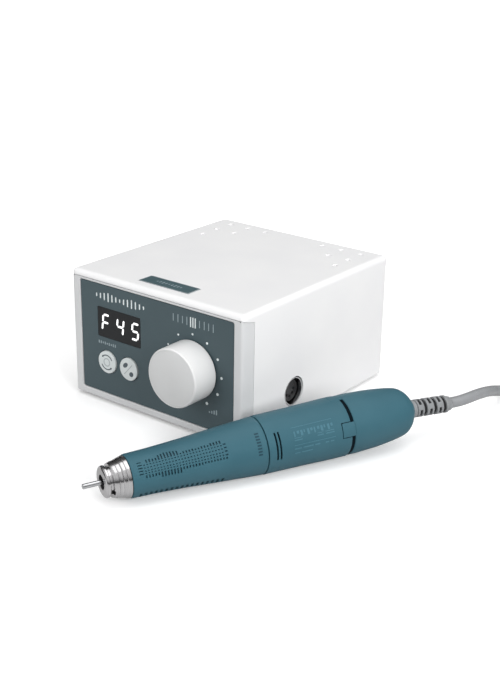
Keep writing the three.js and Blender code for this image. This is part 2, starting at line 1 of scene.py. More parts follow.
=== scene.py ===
import json
from math import atan2, cos, hypot, pi, radians, sin, sqrt, tan
import bmesh
import bpy
from mathutils import Matrix, Vector


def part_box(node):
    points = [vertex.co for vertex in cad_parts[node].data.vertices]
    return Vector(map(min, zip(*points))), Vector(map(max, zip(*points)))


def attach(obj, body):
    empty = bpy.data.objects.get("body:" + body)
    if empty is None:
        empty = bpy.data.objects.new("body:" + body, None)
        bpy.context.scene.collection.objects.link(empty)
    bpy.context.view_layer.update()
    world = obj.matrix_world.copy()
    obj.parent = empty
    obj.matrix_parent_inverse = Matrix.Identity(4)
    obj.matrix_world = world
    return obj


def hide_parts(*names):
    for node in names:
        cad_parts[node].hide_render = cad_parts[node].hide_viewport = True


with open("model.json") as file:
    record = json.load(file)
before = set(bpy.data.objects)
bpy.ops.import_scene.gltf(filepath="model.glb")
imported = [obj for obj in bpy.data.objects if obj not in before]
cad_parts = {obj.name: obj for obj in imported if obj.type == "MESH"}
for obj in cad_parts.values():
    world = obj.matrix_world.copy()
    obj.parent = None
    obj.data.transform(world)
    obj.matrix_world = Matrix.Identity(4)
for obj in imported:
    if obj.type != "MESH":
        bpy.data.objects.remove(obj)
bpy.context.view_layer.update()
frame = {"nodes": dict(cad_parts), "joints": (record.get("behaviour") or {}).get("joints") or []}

scene = bpy.context.scene
scene.view_settings.view_transform = "Standard"
scene.view_settings.look = "None"

# Everything is written in millimetres, about the middle of the control unit's footprint,
# and brought into the model's frame by UNIT (the unit) or HAND (along the handpiece's axis).
MM = 0.001
GAP = 0.3  # between pieces that touch
FOOT_X, FOOT_FRONT, FOOT_REAR = 43.0, -47.0, 51.0  # the middles of the feet
foot_low, foot_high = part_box("foot_front_left")
unit_middle = (foot_low + foot_high) / 2 + Vector((FOOT_X, -FOOT_FRONT, 0)) * MM
UNIT = Matrix.Translation((unit_middle.x, unit_middle.y, 0)) @ Matrix.Scale(MM, 4)

SLEEVE_JOINT_AT = 40.0  # where the sleeve's joint is along the axis
sleeve_joint = {j["name"]: j for j in frame["joints"]}["grip_sleeve_twist"]
AXIS = Vector(sleeve_joint["axis"]).normalized()  # from the nose to the cord
SIDEWAYS = Vector((-AXIS.y, AXIS.x, 0)).normalized()  # away from the camera
UP = AXIS.cross(SIDEWAYS)
NOSE = Vector(sleeve_joint["pos_m"]) - AXIS * SLEEVE_JOINT_AT * MM
ALONG = Matrix.Translation(NOSE) @ Matrix((SIDEWAYS, UP, AXIS)).transposed().to_4x4()
HAND = ALONG @ Matrix.Scale(MM, 4)

# ---------- camera ----------

CAMERA_AT = Vector((367.05, -463.8, 256.5))
AZIMUTH, ELEVATION, ROLL = (radians(angle) for angle in (37.44, 21.85, 1.0))
LENS, SENSOR = 61.27, 36
back = Vector((sin(AZIMUTH) * cos(ELEVATION), -cos(AZIMUTH) * cos(ELEVATION),
               sin(ELEVATION)))
level = (-back).cross(Vector((0, 0, 1))).normalized()
upright = level.cross(-back)
right = level * cos(ROLL) + upright * sin(ROLL)
upward = upright * cos(ROLL) - level * sin(ROLL)
camera = bpy.data.objects.new("camera", bpy.data.cameras.new("camera"))
camera.data.lens = LENS
camera.data.sensor_width = SENSOR
camera.data.clip_start = 0.01
camera.data.clip_end = 50
turn = Matrix((right, upward, back)).transposed().to_4x4()
camera.matrix_world = Matrix.Translation(UNIT @ CAMERA_AT) @ turn
scene.collection.objects.link(camera)
scene.camera = camera


# ---------- materials ----------

def linear(value):
    """A colour given as 0-255 display values."""
    parts = [c / 255 for c in value]
    return tuple(c / 12.92 if c <= 0.04045 else ((c + 0.055) / 1.055) ** 2.4 for c in parts) + (1,)


def add_node(tree, kind, **values):
    """A new shader node. Its inputs are named with _ for a space."""
    node = tree.nodes.new("ShaderNode" + kind)
    for name, value in values.items():
        node.inputs[name.replace("_", " ")].default_value = value
    return node


def finish(name, dark, light, rough, cloud=30, grain=2500, bump=0.15, depth=0.02, frame_to=None,
           stretch=None, **sockets):
    """Mottled between two close colours, with a fine grain in its roughness and its surface."""
    m = bpy.data.materials.new(name)
    m.use_nodes = True
    tree, link = m.node_tree, m.node_tree.links.new
    shader = tree.nodes["Principled BSDF"]
    for socket, value in sockets.items():
        shader.inputs[socket.replace("_", " ")].default_value = value
    coord = add_node(tree, "TexCoord").outputs["Object"]
    if frame_to is not None:
        turned_to = add_node(tree, "Mapping", Location=frame_to.translation, Rotation=frame_to.to_euler())
        turned_to.vector_type = "TEXTURE"
        link(coord, turned_to.inputs["Vector"])
        coord = turned_to.outputs["Vector"]
    if stretch is not None:
        scale = add_node(tree, "Mapping", Scale=stretch)
        link(coord, scale.inputs["Vector"])
        coord = scale.outputs["Vector"]
    mottle = add_node(tree, "TexNoise", Scale=cloud, Detail=3)
    link(coord, mottle.inputs["Vector"])
    ramp = add_node(tree, "ValToRGB")
    for stop, position, colour in zip(ramp.color_ramp.elements, (0.3, 0.7), (dark, light)):
        stop.position = position
        stop.color = linear(colour)
    link(mottle.outputs["Fac"], ramp.inputs["Fac"])
    link(ramp.outputs["Color"], shader.inputs["Base Color"])
    fine = add_node(tree, "TexNoise", Scale=grain, Detail=2)
    link(coord, fine.inputs["Vector"])
    spread = add_node(tree, "MapRange", To_Min=rough[0], To_Max=rough[1])
    link(fine.outputs["Fac"], spread.inputs["Value"])
    link(spread.outputs["Result"], shader.inputs["Roughness"])
    relief = add_node(tree, "Bump", Strength=bump, Distance=depth * MM)
    link(fine.outputs["Fac"], relief.inputs["Height"])
    link(relief.outputs["Normal"], shader.inputs["Normal"])
    return m


ON_HAND = dict(cloud=45, grain=3500, frame_to=ALONG)
PRINTED = dict(cloud=300, bump=0.1)

LOOKS = {
    "housing": finish("white_moulding", (217, 217, 218), (221, 221, 221), (0.42, 0.5), bump=0.2),
    "bezel": finish("grey_white_moulding", (194, 195, 196), (198, 199, 200), (0.42, 0.5), bump=0.2),
    "tray": finish("tray_moulding", (206, 207, 208), (214, 214, 214), (0.5, 0.6), bump=0.3),
    "panel": finish("slate_panel", (62, 77, 82), (65, 80, 85), (0.5, 0.6), cloud=18, grain=4000, bump=0.12),
    "badge": finish("slate_badge", (63, 83, 88), (67, 87, 92), (0.42, 0.5), cloud=60, grain=4000, bump=0.1),
    "window": finish("dark_window", (22, 24, 26), (26, 28, 30), (0.26, 0.34), cloud=50, grain=900, bump=0.02,
                     Specular_IOR_Level=0.3),
    "button": finish("grey_key", (196, 202, 202), (203, 208, 208), (0.38, 0.46), cloud=120),
    "knob": finish("pale_knob", (204, 205, 205), (209, 209, 209), (0.38, 0.46), cloud=80),
    "teal_shell": finish("teal_moulding", (46, 85, 97), (51, 90, 102), (0.5, 0.6), bump=0.25,
                         Specular_IOR_Level=0.35, **ON_HAND),
    "foot_rubber": finish("black_rubber", (28, 28, 29), (38, 38, 39), (0.7, 0.85), cloud=200, bump=0.5,
                          depth=0.05),
    "grey_rubber": finish("grey_rubber", (121, 123, 125), (131, 133, 135), (0.5, 0.62), cloud=200, bump=0.4,
                          depth=0.04),
    "cord_jacket": finish("grey_jacket", (124, 126, 128), (136, 138, 140), (0.22, 0.3), cloud=90, depth=0.03),
    "dark_plastic": finish("charcoal_plastic", (40, 40, 41), (50, 50, 51), (0.42, 0.55), cloud=150, bump=0.35,
                           depth=0.04),
    "inlet_plastic": finish("black_moulding", (24, 24, 25), (32, 32, 33), (0.4, 0.52), cloud=120, bump=0.3,
                            depth=0.04),
    "steel": finish("turned_steel", (190, 189, 190), (216, 215, 216), (0.15, 0.24), cloud=2500, grain=6000,
                    bump=0.2, depth=0.006, Metallic=1.0, frame_to=ALONG, stretch=(0.03, 0.03, 1)),
    "bright_steel": finish("bright_steel", (190, 191, 193), (208, 209, 211), (0.14, 0.22), cloud=300,
                           grain=4000, bump=0.1, depth=0.01, Metallic=1.0),
    "board": finish("board_green", (24, 84, 52), (34, 98, 62), (0.35, 0.5), cloud=200, bump=0.2),
    "iron": finish("dark_iron", (70, 70, 73), (88, 88, 91), (0.4, 0.55), cloud=150, bump=0.4, depth=0.05,
                   Metallic=0.8),
    "copper": finish("copper", (176, 106, 60), (198, 124, 74), (0.28, 0.42), cloud=400, bump=0.3, depth=0.03,
                     Metallic=1.0),
    "brass": finish("brass", (190, 158, 88), (208, 178, 106), (0.24, 0.36), cloud=300, Metallic=1.0),
    "carbon": finish("carbon", (38, 38, 40), (52, 52, 54), (0.6, 0.75), cloud=500, bump=0.5, depth=0.04),
}
DISC = finish("grey_disc", (194, 195, 195), (198, 199, 199), (0.4, 0.48), cloud=80, bump=0.12)
WHITE_INK = finish("white_print", (206, 214, 215), (216, 222, 222), (0.5, 0.6), **PRINTED)
FAINT_INK = finish("grey_print", (134, 148, 154), (144, 157, 162), (0.5, 0.6), **PRINTED)
DARK_INK = finish("slate_print", (66, 76, 82), (76, 86, 92), (0.5, 0.6), **PRINTED)
GREY_INK = finish("pale_grey_print", (150, 157, 160), (160, 166, 169), (0.5, 0.6), **PRINTED)
LIT = finish("lit_segment", (244, 246, 248), (250, 251, 252), (0.3, 0.4), cloud=300, bump=0.05,
             Emission_Color=(1, 1, 1, 1), Emission_Strength=0.55)
# near-black: painted shade in the motor housing's vents and latch groove, and in the ring at the rear cap's
# joint
PAINTED_SLIT_SHADE = finish("painted_slit_shade", (4, 14, 20), (7, 19, 26), (0.7, 0.8), bump=0.2, Specular_IOR_Level=0.1, **ON_HAND)
# dark teal: the lock marks' own colour, and painted shade on the grip's pocket floors
DARK_TEAL_MARK_AND_PAINTED_SHADE = finish("dark_teal_mark_and_painted_recess_shade", (18, 50, 62), (22, 56, 69), (0.6, 0.7), bump=0.2, **ON_HAND)
PALE_TEAL = finish("teal_emboss", (56, 99, 113), (62, 105, 119), (0.45, 0.55), bump=0.2, **ON_HAND)
# black: the tie's own colour, and painted shade in the strain relief's grooves and slots
BLACK_TIE_AND_GROOVE_SHADE = finish("black_strap_and_painted_groove_shade", (26, 26, 28), (36, 36, 38), (0.75, 0.9), cloud=600, grain=5000, bump=0.8,
             depth=0.08)

# the CAD nodes that stay as they are, and their finishes
NODES_BY_SLOT = {
    "dark_plastic": ("display_module", "tact_switch_reverse", "tact_switch_select"),
    "bright_steel": ("pot_shaft", "pot_nut", "collet_spring", "front_bearing", "middle_bearing",
                     "rear_bearing"),
    "iron": ("potentiometer", "power_transformer", "motor_can"),
    "board": ("control_board", "main_board"),
    "tray": ("base_tray",),
    "steel": ("front_tube", "collet", "spindle", "motor_shaft"),
    "copper": ("armature", "commutator"),
    "carbon": ("brush_upper", "brush_lower"),
}


# ---------- shapes: (vertices, faces) in millimetres ----------

# where (u, v, w) lies when w runs along the named axis
FACING = {"x": lambda u, v, w: (w, u, v), "y": lambda u, v, w: (u, w, v), "z": lambda u, v, w: (u, v, w)}


def joined(*parts):
    verts, faces = [], []
    for v, f in parts:
        faces += [[i + len(verts) for i in face] for face in f]
        verts += list(v)
    return verts, faces


def prism(outline, along, start, end):
    """A flat outline given a thickness. along is an axis, or says where (u, v, w) lies."""
    place = FACING.get(along, along)
    n = len(outline)
    verts = [place(u, v, w) for w in (start, end) for u, v in outline]
    faces = [list(range(n)), list(range(2 * n - 1, n - 1, -1))]
    faces += [[i, i + n, (i + 1) % n + n, (i + 1) % n] for i in range(n)]
    return verts, faces


def band(outer, inner, along, start, end):
    """A closed frame between two outlines with the same number of points."""
    place = FACING.get(along, along)
    n = len(outer)
    verts = [place(u, v, w) for w in (start, end) for ring in (outer, inner) for u, v in ring]
    faces = []
    for i in range(n):
        j = (i + 1) % n
        faces += [[i, j, n + j, n + i], [2 * n + i, 3 * n + i, 3 * n + j, 2 * n + j],
                  [i, 2 * n + i, 2 * n + j, j], [n + i, n + j, 3 * n + j, 3 * n + i]]
    return verts, faces


def six_faced(corners):
    """A solid from eight corners: four round one end, and the same four at the other."""
    return ([tuple(v) for v in corners],
            [[0, 1, 2, 3], [7, 6, 5, 4], [0, 4, 5, 1], [1, 5, 6, 2], [2, 6, 7, 3], [3, 7, 4, 0]])


def block(x0, x1, y0, y1, z0, z1):
    return prism([(x0, y0), (x1, y0), (x1, y1), (x0, y1)], "z", z0, z1)


def polar(x, z, r, angle):
    """The point at a distance and an angle from (x, z)."""
    return x + r * cos(angle), z + r * sin(angle)


def disc(x, z, r, sides=40):
    return [polar(x, z, r, 2 * pi * i / sides) for i in range(sides)]


def rounded(x, z, width, height, r, steps=6):
    """A rectangle with round corners, about its middle."""
    points = []
    for cx, cz, a0 in ((1, 1, 0), (-1, 1, 90), (-1, -1, 180), (1, -1, 270)):
        for i in range(steps + 1):
            a = radians(a0 + 90 * i / steps)
            points.append(polar(x + cx * (width / 2 - r), z + cz * (height / 2 - r), r, a))
    return points


def turned(profile, sides=96, around=None):
    """A closed outline of (distance along the axis, radius), turned about Z or as around says."""
    around = around or (lambda s, u, v: (u, v, s))
    verts, rings = [], []
    for s, r in profile:
        if r < 1e-6:
            rings.append([len(verts)] * sides)
            verts.append(around(s, 0, 0))
        else:
            rings.append(list(range(len(verts), len(verts) + sides)))
            verts += [around(s, *polar(0, 0, r, 2 * pi * i / sides)) for i in range(sides)]
    faces = []
    for k, ring in enumerate(rings):
        after = rings[(k + 1) % len(rings)]
        if ring[0] == ring[1] and after[0] == after[1]:
            continue
        for i in range(sides):
            j = (i + 1) % sides
            face = [ring[i], ring[j], after[j], after[i]]
            face = [v for n, v in enumerate(face) if v not in face[:n]]
            if len(face) > 2:
                faces.append(face)
    return verts, faces


def soft(profile, radius, steps=3):
    """The outline with each corner rounded, away from the axis. radius is a number, or one per corner."""
    n = len(profile)
    radii = radius if isinstance(radius, (list, tuple)) else [radius] * n
    out = []
    for i, (s, r) in enumerate(profile):
        p = Vector((s, r))
        a, b = Vector(profile[i - 1]) - p, Vector(profile[(i + 1) % n]) - p
        if r < 1e-6 or radii[i] <= 0 or a.length < 1e-6 or b.length < 1e-6:
            out.append((s, r))
            continue
        angle = a.angle(b)
        if angle > radians(175):
            out.append((s, r))
            continue
        reach = min(radii[i] / tan(angle / 2), 0.45 * a.length, 0.45 * b.length)
        start, end = p + a.normalized() * reach, p + b.normalized() * reach
        for k in range(steps + 1):
            t = k / steps
            q = start * (1 - t) ** 2 + p * 2 * t * (1 - t) + end * t * t
            out.append((q.x, q.y))
    return out


def curve_through(points, steps=4):
    """Points on a smooth line through the given ones."""
    pts = [Vector(p) for p in points]
    pts = [2 * pts[0] - pts[1]] + pts + [2 * pts[-1] - pts[-2]]
    out = []
    for i in range(1, len(pts) - 2):
        p0, p1, p2, p3 = pts[i - 1:i + 3]
        t1 = max((p1 - p0).length, 1e-6) ** 0.5
        t2 = t1 + max((p2 - p1).length, 1e-6) ** 0.5
        t3 = t2 + max((p3 - p2).length, 1e-6) ** 0.5
        for k in range(steps):
            t = t1 + (t2 - t1) * k / steps
            a1, a2 = p0.lerp(p1, t / t1), p1.lerp(p2, (t - t1) / (t2 - t1))
            a3 = p2.lerp(p3, (t - t2) / (t3 - t2))
            b1, b2 = a1.lerp(a2, t / t2), a2.lerp(a3, (t - t1) / (t3 - t1))
            out.append(b1.lerp(b2, (t - t1) / (t2 - t1)))
    out.append(pts[-2])
    return out


# ---------- pieces ----------

def make(name, shape, place=UNIT):
    """An object from a shape, in the model's frame."""
    verts, faces = shape
    mesh = bpy.data.meshes.new(name)
    mesh.from_pydata([tuple(v) for v in verts], [], faces)
    bm = bmesh.new()
    bm.from_mesh(mesh)
    bmesh.ops.remove_doubles(bm, verts=bm.verts, dist=1e-5)
    bmesh.ops.recalc_face_normals(bm, faces=bm.faces)
    bm.to_mesh(mesh)
    bm.free()
    mesh.transform(place)
    obj = bpy.data.objects.new(name, mesh)
    scene.collection.objects.link(obj)
    return obj


def carve(obj, *shapes, place=UNIT, operation="DIFFERENCE"):
    """Cuts the shapes away, or adds them, all at once. They don't touch each other."""
    tool = make("tool", joined(*shapes), place)
    cut = obj.modifiers.new("cut", "BOOLEAN")
    cut.object = tool
    cut.solver = "EXACT"
    cut.operation = operation
    evaluated = obj.evaluated_get(bpy.context.evaluated_depsgraph_get())
    result = bpy.data.meshes.new_from_object(evaluated)
    obj.modifiers.clear()
    before, tool_mesh = obj.data, tool.data
    obj.data = result
    result.name = obj.name
    bpy.data.objects.remove(tool)
    for mesh in (before, tool_mesh):
        bpy.data.meshes.remove(mesh)


def round_edges(obj, chosen, radius, segments):
    """Rounds the edges whose middle, in the unit's millimetres, is chosen."""
    bm = bmesh.new()
    bm.from_mesh(obj.data)
    inverse = UNIT.inverted()
    edges = [e for e in bm.edges if chosen(inverse @ ((e.verts[0].co + e.verts[1].co) / 2))]
    bmesh.ops.bevel(bm, geom=edges, offset=radius * MM, segments=segments, profile=0.5, affect="EDGES")
    bm.to_mesh(obj.data)
    bm.free()


def ease(obj, width=0.3, segments=2):
    """Small rounded edges, and flat faces that stay flat in the light."""
    edge = obj.modifiers.new("edge", "BEVEL")
    edge.width = width * MM
    edge.segments = segments
    edge.limit_method = "ANGLE"
    edge.angle_limit = radians(35)
    flat = obj.modifiers.new("flat", "WEIGHTED_NORMAL")
    flat.keep_sharp = True
    flat.weight = 100


def second(obj, material, chosen):
    """Another material on the faces whose middle, in the handpiece's millimetres, is chosen."""
    obj.data.materials.append(material)
    inverse = HAND.inverted()
    for polygon in obj.data.polygons:
        if chosen(inverse @ polygon.center):
            polygon.material_index = 1


def fit(obj, body, slot, nodes=(), material=None, sharp=None):
    """The piece gets its material, its body, and the CAD nodes that it stands for."""
    obj.data.materials.append(material or LOOKS[slot])
    if obj.type == "MESH":
        obj.data.polygons.foreach_set("use_smooth", [True] * len(obj.data.polygons))
        if sharp is not None:
            obj.data.set_sharp_from_angle(angle=radians(sharp))
    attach(obj, body)
    if nodes:
        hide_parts(*nodes)


# ---------- the cord, its plug and its tie ----------

CORD_RADIUS = 2.75
FLOOR_Z = CORD_RADIUS + 0.05  # the cord's middle where it lies on the bench
RELIEF_END = 183.3  # along the handpiece's axis
SAG_FROM, SAG_SLOPE = 157.0, 0.077
COIL_X, COIL_Y, COIL_IN, COIL_PITCH = 160.0, 130.0, 19.4, 5.55
LOWER_TURNS, UPPER_TURNS, PER_TURN = 4, 3, 48
COIL_OUT = COIL_IN + COIL_PITCH * LOWER_TURNS
COIL_LIFT = 2 * CORD_RADIUS
PLUG_X, PLUG_Y, PLUG_Z = COIL_X + COIL_IN + COIL_PITCH * UPPER_TURNS, 92.0, 7.3


def sag(s):
    """How far the strain relief hangs below the axis."""
    return SAG_SLOPE * max(0.0, s - SAG_FROM)


def coil_point(radius, angle, lift=0.0):
    return Vector((*polar(COIL_X, COIL_Y, radius, angle), FLOOR_Z + lift))


relief_end = UNIT.inverted() @ (NOSE + (AXIS * RELIEF_END - UP * sag(RELIEF_END)) * MM)
lead = [Vector((relief_end.x + x, relief_end.y + y, max(relief_end.z + z, FLOOR_Z))) for x, y, z in (
    (0.13, 0.27, 0), (2.2, 5.6, -0.25), (3.7, 12.5, -0.55), (4.6, 20.4, -1.1), (5.2, 28.4, -2.2),
    (5.3, 36.4, -4.2), (5.0, 44.4, -6.9), (4.3, 52.3, -9.6), (3.3, 60.2, -11.5), (2, 68, -12.2),
    (0.3, 76, -12.2))]
lead += [Vector((COIL_X - COIL_OUT, COIL_Y - y, FLOOR_Z)) for y in (22, 11)]
turns = []
for i in range(LOWER_TURNS * PER_TURN + 1):  # inwards, on the bench
    t = i / PER_TURN
    turns.append(coil_point(COIL_OUT - COIL_PITCH * t, pi - 2 * pi * t))
for i in range(1, PER_TURN // 2):  # half a turn up
    t = 2 * i / PER_TURN
    turns.append(coil_point(COIL_IN - 0.5 * sin(pi * t), pi - pi * t,
                            COIL_LIFT * (0.5 - 0.5 * cos(pi * t))))
for i in range(UPPER_TURNS * PER_TURN + 1):  # outwards, on top
    t = i / PER_TURN
    turns.append(coil_point(COIL_IN + COIL_PITCH * t, -2 * pi * t, COIL_LIFT))
tail = [Vector((PLUG_X, PLUG_Y + y, z)) for y, z in (
    (27, FLOOR_Z + COIL_LIFT), (13, FLOOR_Z + COIL_LIFT), (7.8, 8.25), (5, 7.75), (2.5, 7.33), (0.3, PLUG_Z))]
route = [UNIT @ p for p in curve_through(lead) + turns + curve_through(tail)]
cord_length = sum((b - a).length for a, b in zip(route, route[1:]))

line = bpy.data.curves.new("handpiece_cord", "CURVE")
line.dimensions = "3D"
line.bevel_depth = CORD_RADIUS * MM
line.bevel_resolution = 5
line.use_fill_caps = True
spline = line.splines.new("POLY")
spline.points.add(len(route) - 1)
for point, p in zip(spline.points, route):
    point.co = (*p, 1)
spline.use_smooth = True
cord = bpy.data.objects.new("handpiece_cord", line)
scene.collection.objects.link(cord)
fit(cord, "handpiece", "cord_jacket", ("cord_lead", "cord_coil", "cord_tail"))

# the plug, measured from its strain relief's end (s) towards the contacts
GRIP_START, GRIP_LENGTH, GRIP_RADIUS, GRIP_CORE = 16.3, 30.0, 7.25, 6.75
COLLAR_START, COLLAR_LENGTH, COLLAR_RADIUS = GRIP_START + GRIP_LENGTH + GAP, 12.0, 6.55
PIN_CIRCLE = 3.3
PIN_PLACES = [polar(0, 0, PIN_CIRCLE, radians(180 + 45 * k)) for k in range(5)]


def along_plug(s, u, v):
    return (PLUG_X + u, PLUG_Y - s, PLUG_Z + v)


def ribbed(start, end, r0, r1, ribs, depth, fill=0.6):
    """A tapered outline with grooves round it, from start to end."""
    out = []
    step = (end - start) / ribs
    for k in range(ribs):
        a, b, c = (start + (k + part) * step for part in (0, fill, 1))
        ra, rb = (r0 + (r1 - r0) * (x - start) / (end - start) for x in (a, b))
        out += [(a, ra), (b, rb)]
        if k < ribs - 1:
            out += [(b + 0.12, rb - depth), (c - 0.12, rb - depth)]
    return out


boot_line = [(0, 0), (0, 3.1)] + ribbed(0.4, 15.6, 3.2, 4.9, 6, 0.9) + [(16, 4.9), (16, 0)]
plug_boot = make("plug_boot", turned(soft(boot_line, 0.25, 2), 48, along_plug))
fit(plug_boot, "handpiece", "foot_rubber", ["plug_strain_relief"], sharp=30)

grip_line = [(GRIP_START, 0), (GRIP_START, 5.6), (GRIP_START + 1.6, 7.1), (GRIP_START + 5, GRIP_RADIUS)]
for k in range(7):
    a = GRIP_START + 7 + 2.6 * k
    grip_line += [(a, GRIP_RADIUS), (a + 0.3, GRIP_CORE), (a + 1.1, GRIP_CORE), (a + 1.4, GRIP_RADIUS)]
grip_end = GRIP_START + GRIP_LENGTH
grip_line += [(grip_end - 0.6, GRIP_RADIUS), (grip_end, 6.9), (grip_end, 0)]
plug_body = make("plug_body", turned(soft(grip_line, 0.3, 2), 64, along_plug))
fit(plug_body, "handpiece", "dark_plastic", ["plug_grip"], sharp=30)

collar_line = [(0, 0), (0, COLLAR_RADIUS), (1.2, COLLAR_RADIUS), (1.5, 6.3), (2.1, 6.3), (2.4, COLLAR_RADIUS),
               (COLLAR_LENGTH, COLLAR_RADIUS), (COLLAR_LENGTH, 6.05), (3, 6.0), (3, 0)]
collar_line = [(COLLAR_START + s, r) for s, r in collar_line]
plug_collar = make("plug_collar", turned(soft(collar_line, 0.15, 2), 64, along_plug))
fit(plug_collar, "handpiece", "bright_steel", ["plug_shell"], sharp=30)

insulator_line = [(COLLAR_START + s, r) for s, r in ((3.3, 0), (3.3, 5.6), (5, 5.6), (5, 0))]
plug_insulator = make("plug_insulator", turned(soft(insulator_line, 0.2, 2), 48, along_plug))
fit(plug_insulator, "handpiece", "dark_plastic", ["plug_insert"], sharp=30)

pin_line = soft([(COLLAR_START + s, r) for s, r in ((4, 0), (4, 0.7), (11, 0.7), (11, 0))], 0.35, 3)
pins = [turned(pin_line, 16, lambda s, x, z, u=u, v=v: along_plug(s, x + u, z + v)) for u, v in PIN_PLACES]
plug_pins = make("plug_pins", joined(*pins))
fit(plug_pins, "handpiece", "brass", sharp=30)


def strap():
    """A flat tie round the coil's bundle, with its end laid over itself."""
    angle = radians(-100)
    floor, layer, top, wide = 0.01, 5.7, 2 * CORD_RADIUS + COIL_LIFT + 0.1, 5.0
    inner, outer, upper = COIL_IN - 2.3, COIL_OUT - 1.1, COIL_OUT - 6.4

    def bundle(gap, bend):
        return soft([(inner - gap, floor + 0.6 - gap), (outer + gap, floor + 0.6 - gap), (outer + gap, layer),
                     (upper + gap, top + gap), (inner - gap, top + gap)], bend, 5)

    def put(u, z, w):
        return (COIL_X + u * cos(angle) - w * sin(angle),
                COIL_Y + u * sin(angle) + w * cos(angle), max(z, floor))

    tab = []
    for way, middle in ((-1, inner + 3), (1, inner + 14)):
        for degrees in range(-90, 91, 30):
            t = radians(degrees)
            tab.append((middle + way * 1.6 * cos(t), way * wide / 2 * sin(t)))
    return joined(band(bundle(0.55, 2.2), bundle(0.0, 1.7), put, -wide / 2, wide / 2),
                  prism(tab, lambda u, w, z: put(u, z, w), top + 0.5, top + 1.1))


tie = make("cord_tie", strap())
fit(tie, "handpiece", "foot_rubber", material=BLACK_TIE_AND_GROOVE_SHADE, sharp=30)
tuple(route[0])

# ---------- control unit: housing ----------

SIDE, FRONT, REAR, BOTTOM, TOP, WALL = 56.0, -62.0, 62.0, 2.0, 69.0, 2.5
COVER_FRONT, BEZEL_INSET = FRONT + 8.0, 0.9
LID_EDGE, LIP_FALL, SEAM = 66.0, 2.0, 0.08  # the lid's front edge, how it falls, the joint line
PANEL_Z, PANEL_FACE, PANEL_BACK = 35.0, FRONT + 0.4, FRONT + 2.4
SOCKET_Y, SOCKET_Z, SOCKET_HOLE = -21.0, 18.0, 7.5
VENT_RADIUS, VENT_DEPTH, VENT_PITCH = 1.5, 1.1, 12.4
VENT_X, VENT_Y = SIDE - 11.7, REAR - 8.7  # the vent next to each rear corner
BADGE_Y, BADGE_WIDTH, BADGE_HEIGHT = -50.1, 31.4, 9.0
FITTING_Z, INLET_X, SWITCH_X = 25.0, -27.0, 8.0
INLET_SIZE, SWITCH_SIZE = (27, 20), (13, 19)

cover = make("cover_shell", block(-SIDE, SIDE, FRONT, REAR, BOTTOM, TOP))
middle_z = (BOTTOM + TOP) / 2
round_edges(cover, lambda p: p.z > TOP - 1 or (abs(p.y) > REAR - 1 and abs(p.z - middle_z) < 1), 2.8, 7)
carve(cover, block(-SIDE + WALL, SIDE - WALL, COVER_FRONT - 1, REAR - WALL, BOTTOM - 2, TOP - WALL))
front_room = [(FRONT - 4, BOTTOM - 3), (COVER_FRONT, BOTTOM - 3), (COVER_FRONT, LID_EDGE - LIP_FALL),
              (FRONT - 4, LID_EDGE + LIP_FALL / 2)]
carve(cover, prism(front_room, "x", -SIDE - 2, SIDE + 2))
holes = []
for side in (-1, 1):
    for row in range(3):
        for column in range(3 - row):
            vent = disc(side * (VENT_X - VENT_PITCH * column), VENT_Y - VENT_PITCH * row, VENT_RADIUS, 28)
            holes.append(prism(vent, "z", TOP - VENT_DEPTH, TOP + 1))
holes.append(prism(disc(SOCKET_Y, SOCKET_Z, SOCKET_HOLE + GAP, 64), "x", SIDE - 5, SIDE + 1))
for x, (width, height) in ((INLET_X, INLET_SIZE), (SWITCH_X, SWITCH_SIZE)):
    holes.append(prism(rounded(x, FITTING_Z, width + 2 * GAP, height + 2 * GAP, 1), "y", REAR - 5, REAR + 1))
holes.append(block(-16.3, 16.3, -55.2, -45.0, TOP - 0.9, TOP + 1))
carve(cover, *holes)
ease(cover, 0.28)
fit(cover, "control_unit", "housing", ["top_cover"])

# the frame round the panel, its sides leaning in
frame_rear, frame_top = COVER_FRONT - SEAM, LID_EDGE - SEAM
frame_outline = [(-SIDE + BEZEL_INSET, FRONT), (SIDE - BEZEL_INSET, FRONT), (SIDE, frame_rear),
                 (-SIDE, frame_rear)]
bezel = make("panel_frame", prism(frame_outline, "z", BOTTOM, frame_top))
round_edges(bezel, lambda p: p.y < FRONT + 1 and abs(p.x) > SIDE - 2, 1.5, 4)
carve(bezel, prism([(FRONT - 4, frame_top + LIP_FALL / 2), (COVER_FRONT, LID_EDGE + 2),
                    (COVER_FRONT, frame_top - LIP_FALL)], "x", -SIDE - 2, SIDE + 2))
carve(bezel, prism(rounded(0, PANEL_Z, 99.9, 59.1, 1.2), "y", FRONT - 1, PANEL_BACK + GAP))
carve(bezel, prism(rounded(0, PANEL_Z, 93.3, 52.5, 1), "y", FRONT, FRONT + 10))
ease(bezel, 0.45, 3)
fit(bezel, "control_unit", "bezel", ["front_bezel"])

badge_outline = rounded(0, BADGE_Y, BADGE_WIDTH, BADGE_HEIGHT, 0.6)
badge = make("lid_badge", prism(badge_outline, "z", TOP - 0.7, TOP + 0.1))
ease(badge, 0.12)
fit(badge, "control_unit", "badge", ["nameplate"])
rim_outer = rounded(0, BADGE_Y, BADGE_WIDTH + 0.6, BADGE_HEIGHT + 0.6, 0.8)
rim_inner = rounded(0, BADGE_Y, BADGE_WIDTH - 0.1, BADGE_HEIGHT - 0.1, 0.6)
badge_rim = make("lid_badge_rim", band(rim_outer, rim_inner, "z", TOP - 0.6, TOP + 0.12))
fit(badge_rim, "control_unit", "badge", material=GREY_INK, sharp=30)


def upright_at(x, y):
    """Turned about a vertical axis there, with s as the height."""
    return lambda s, u, v: (x + u, y + v, s)


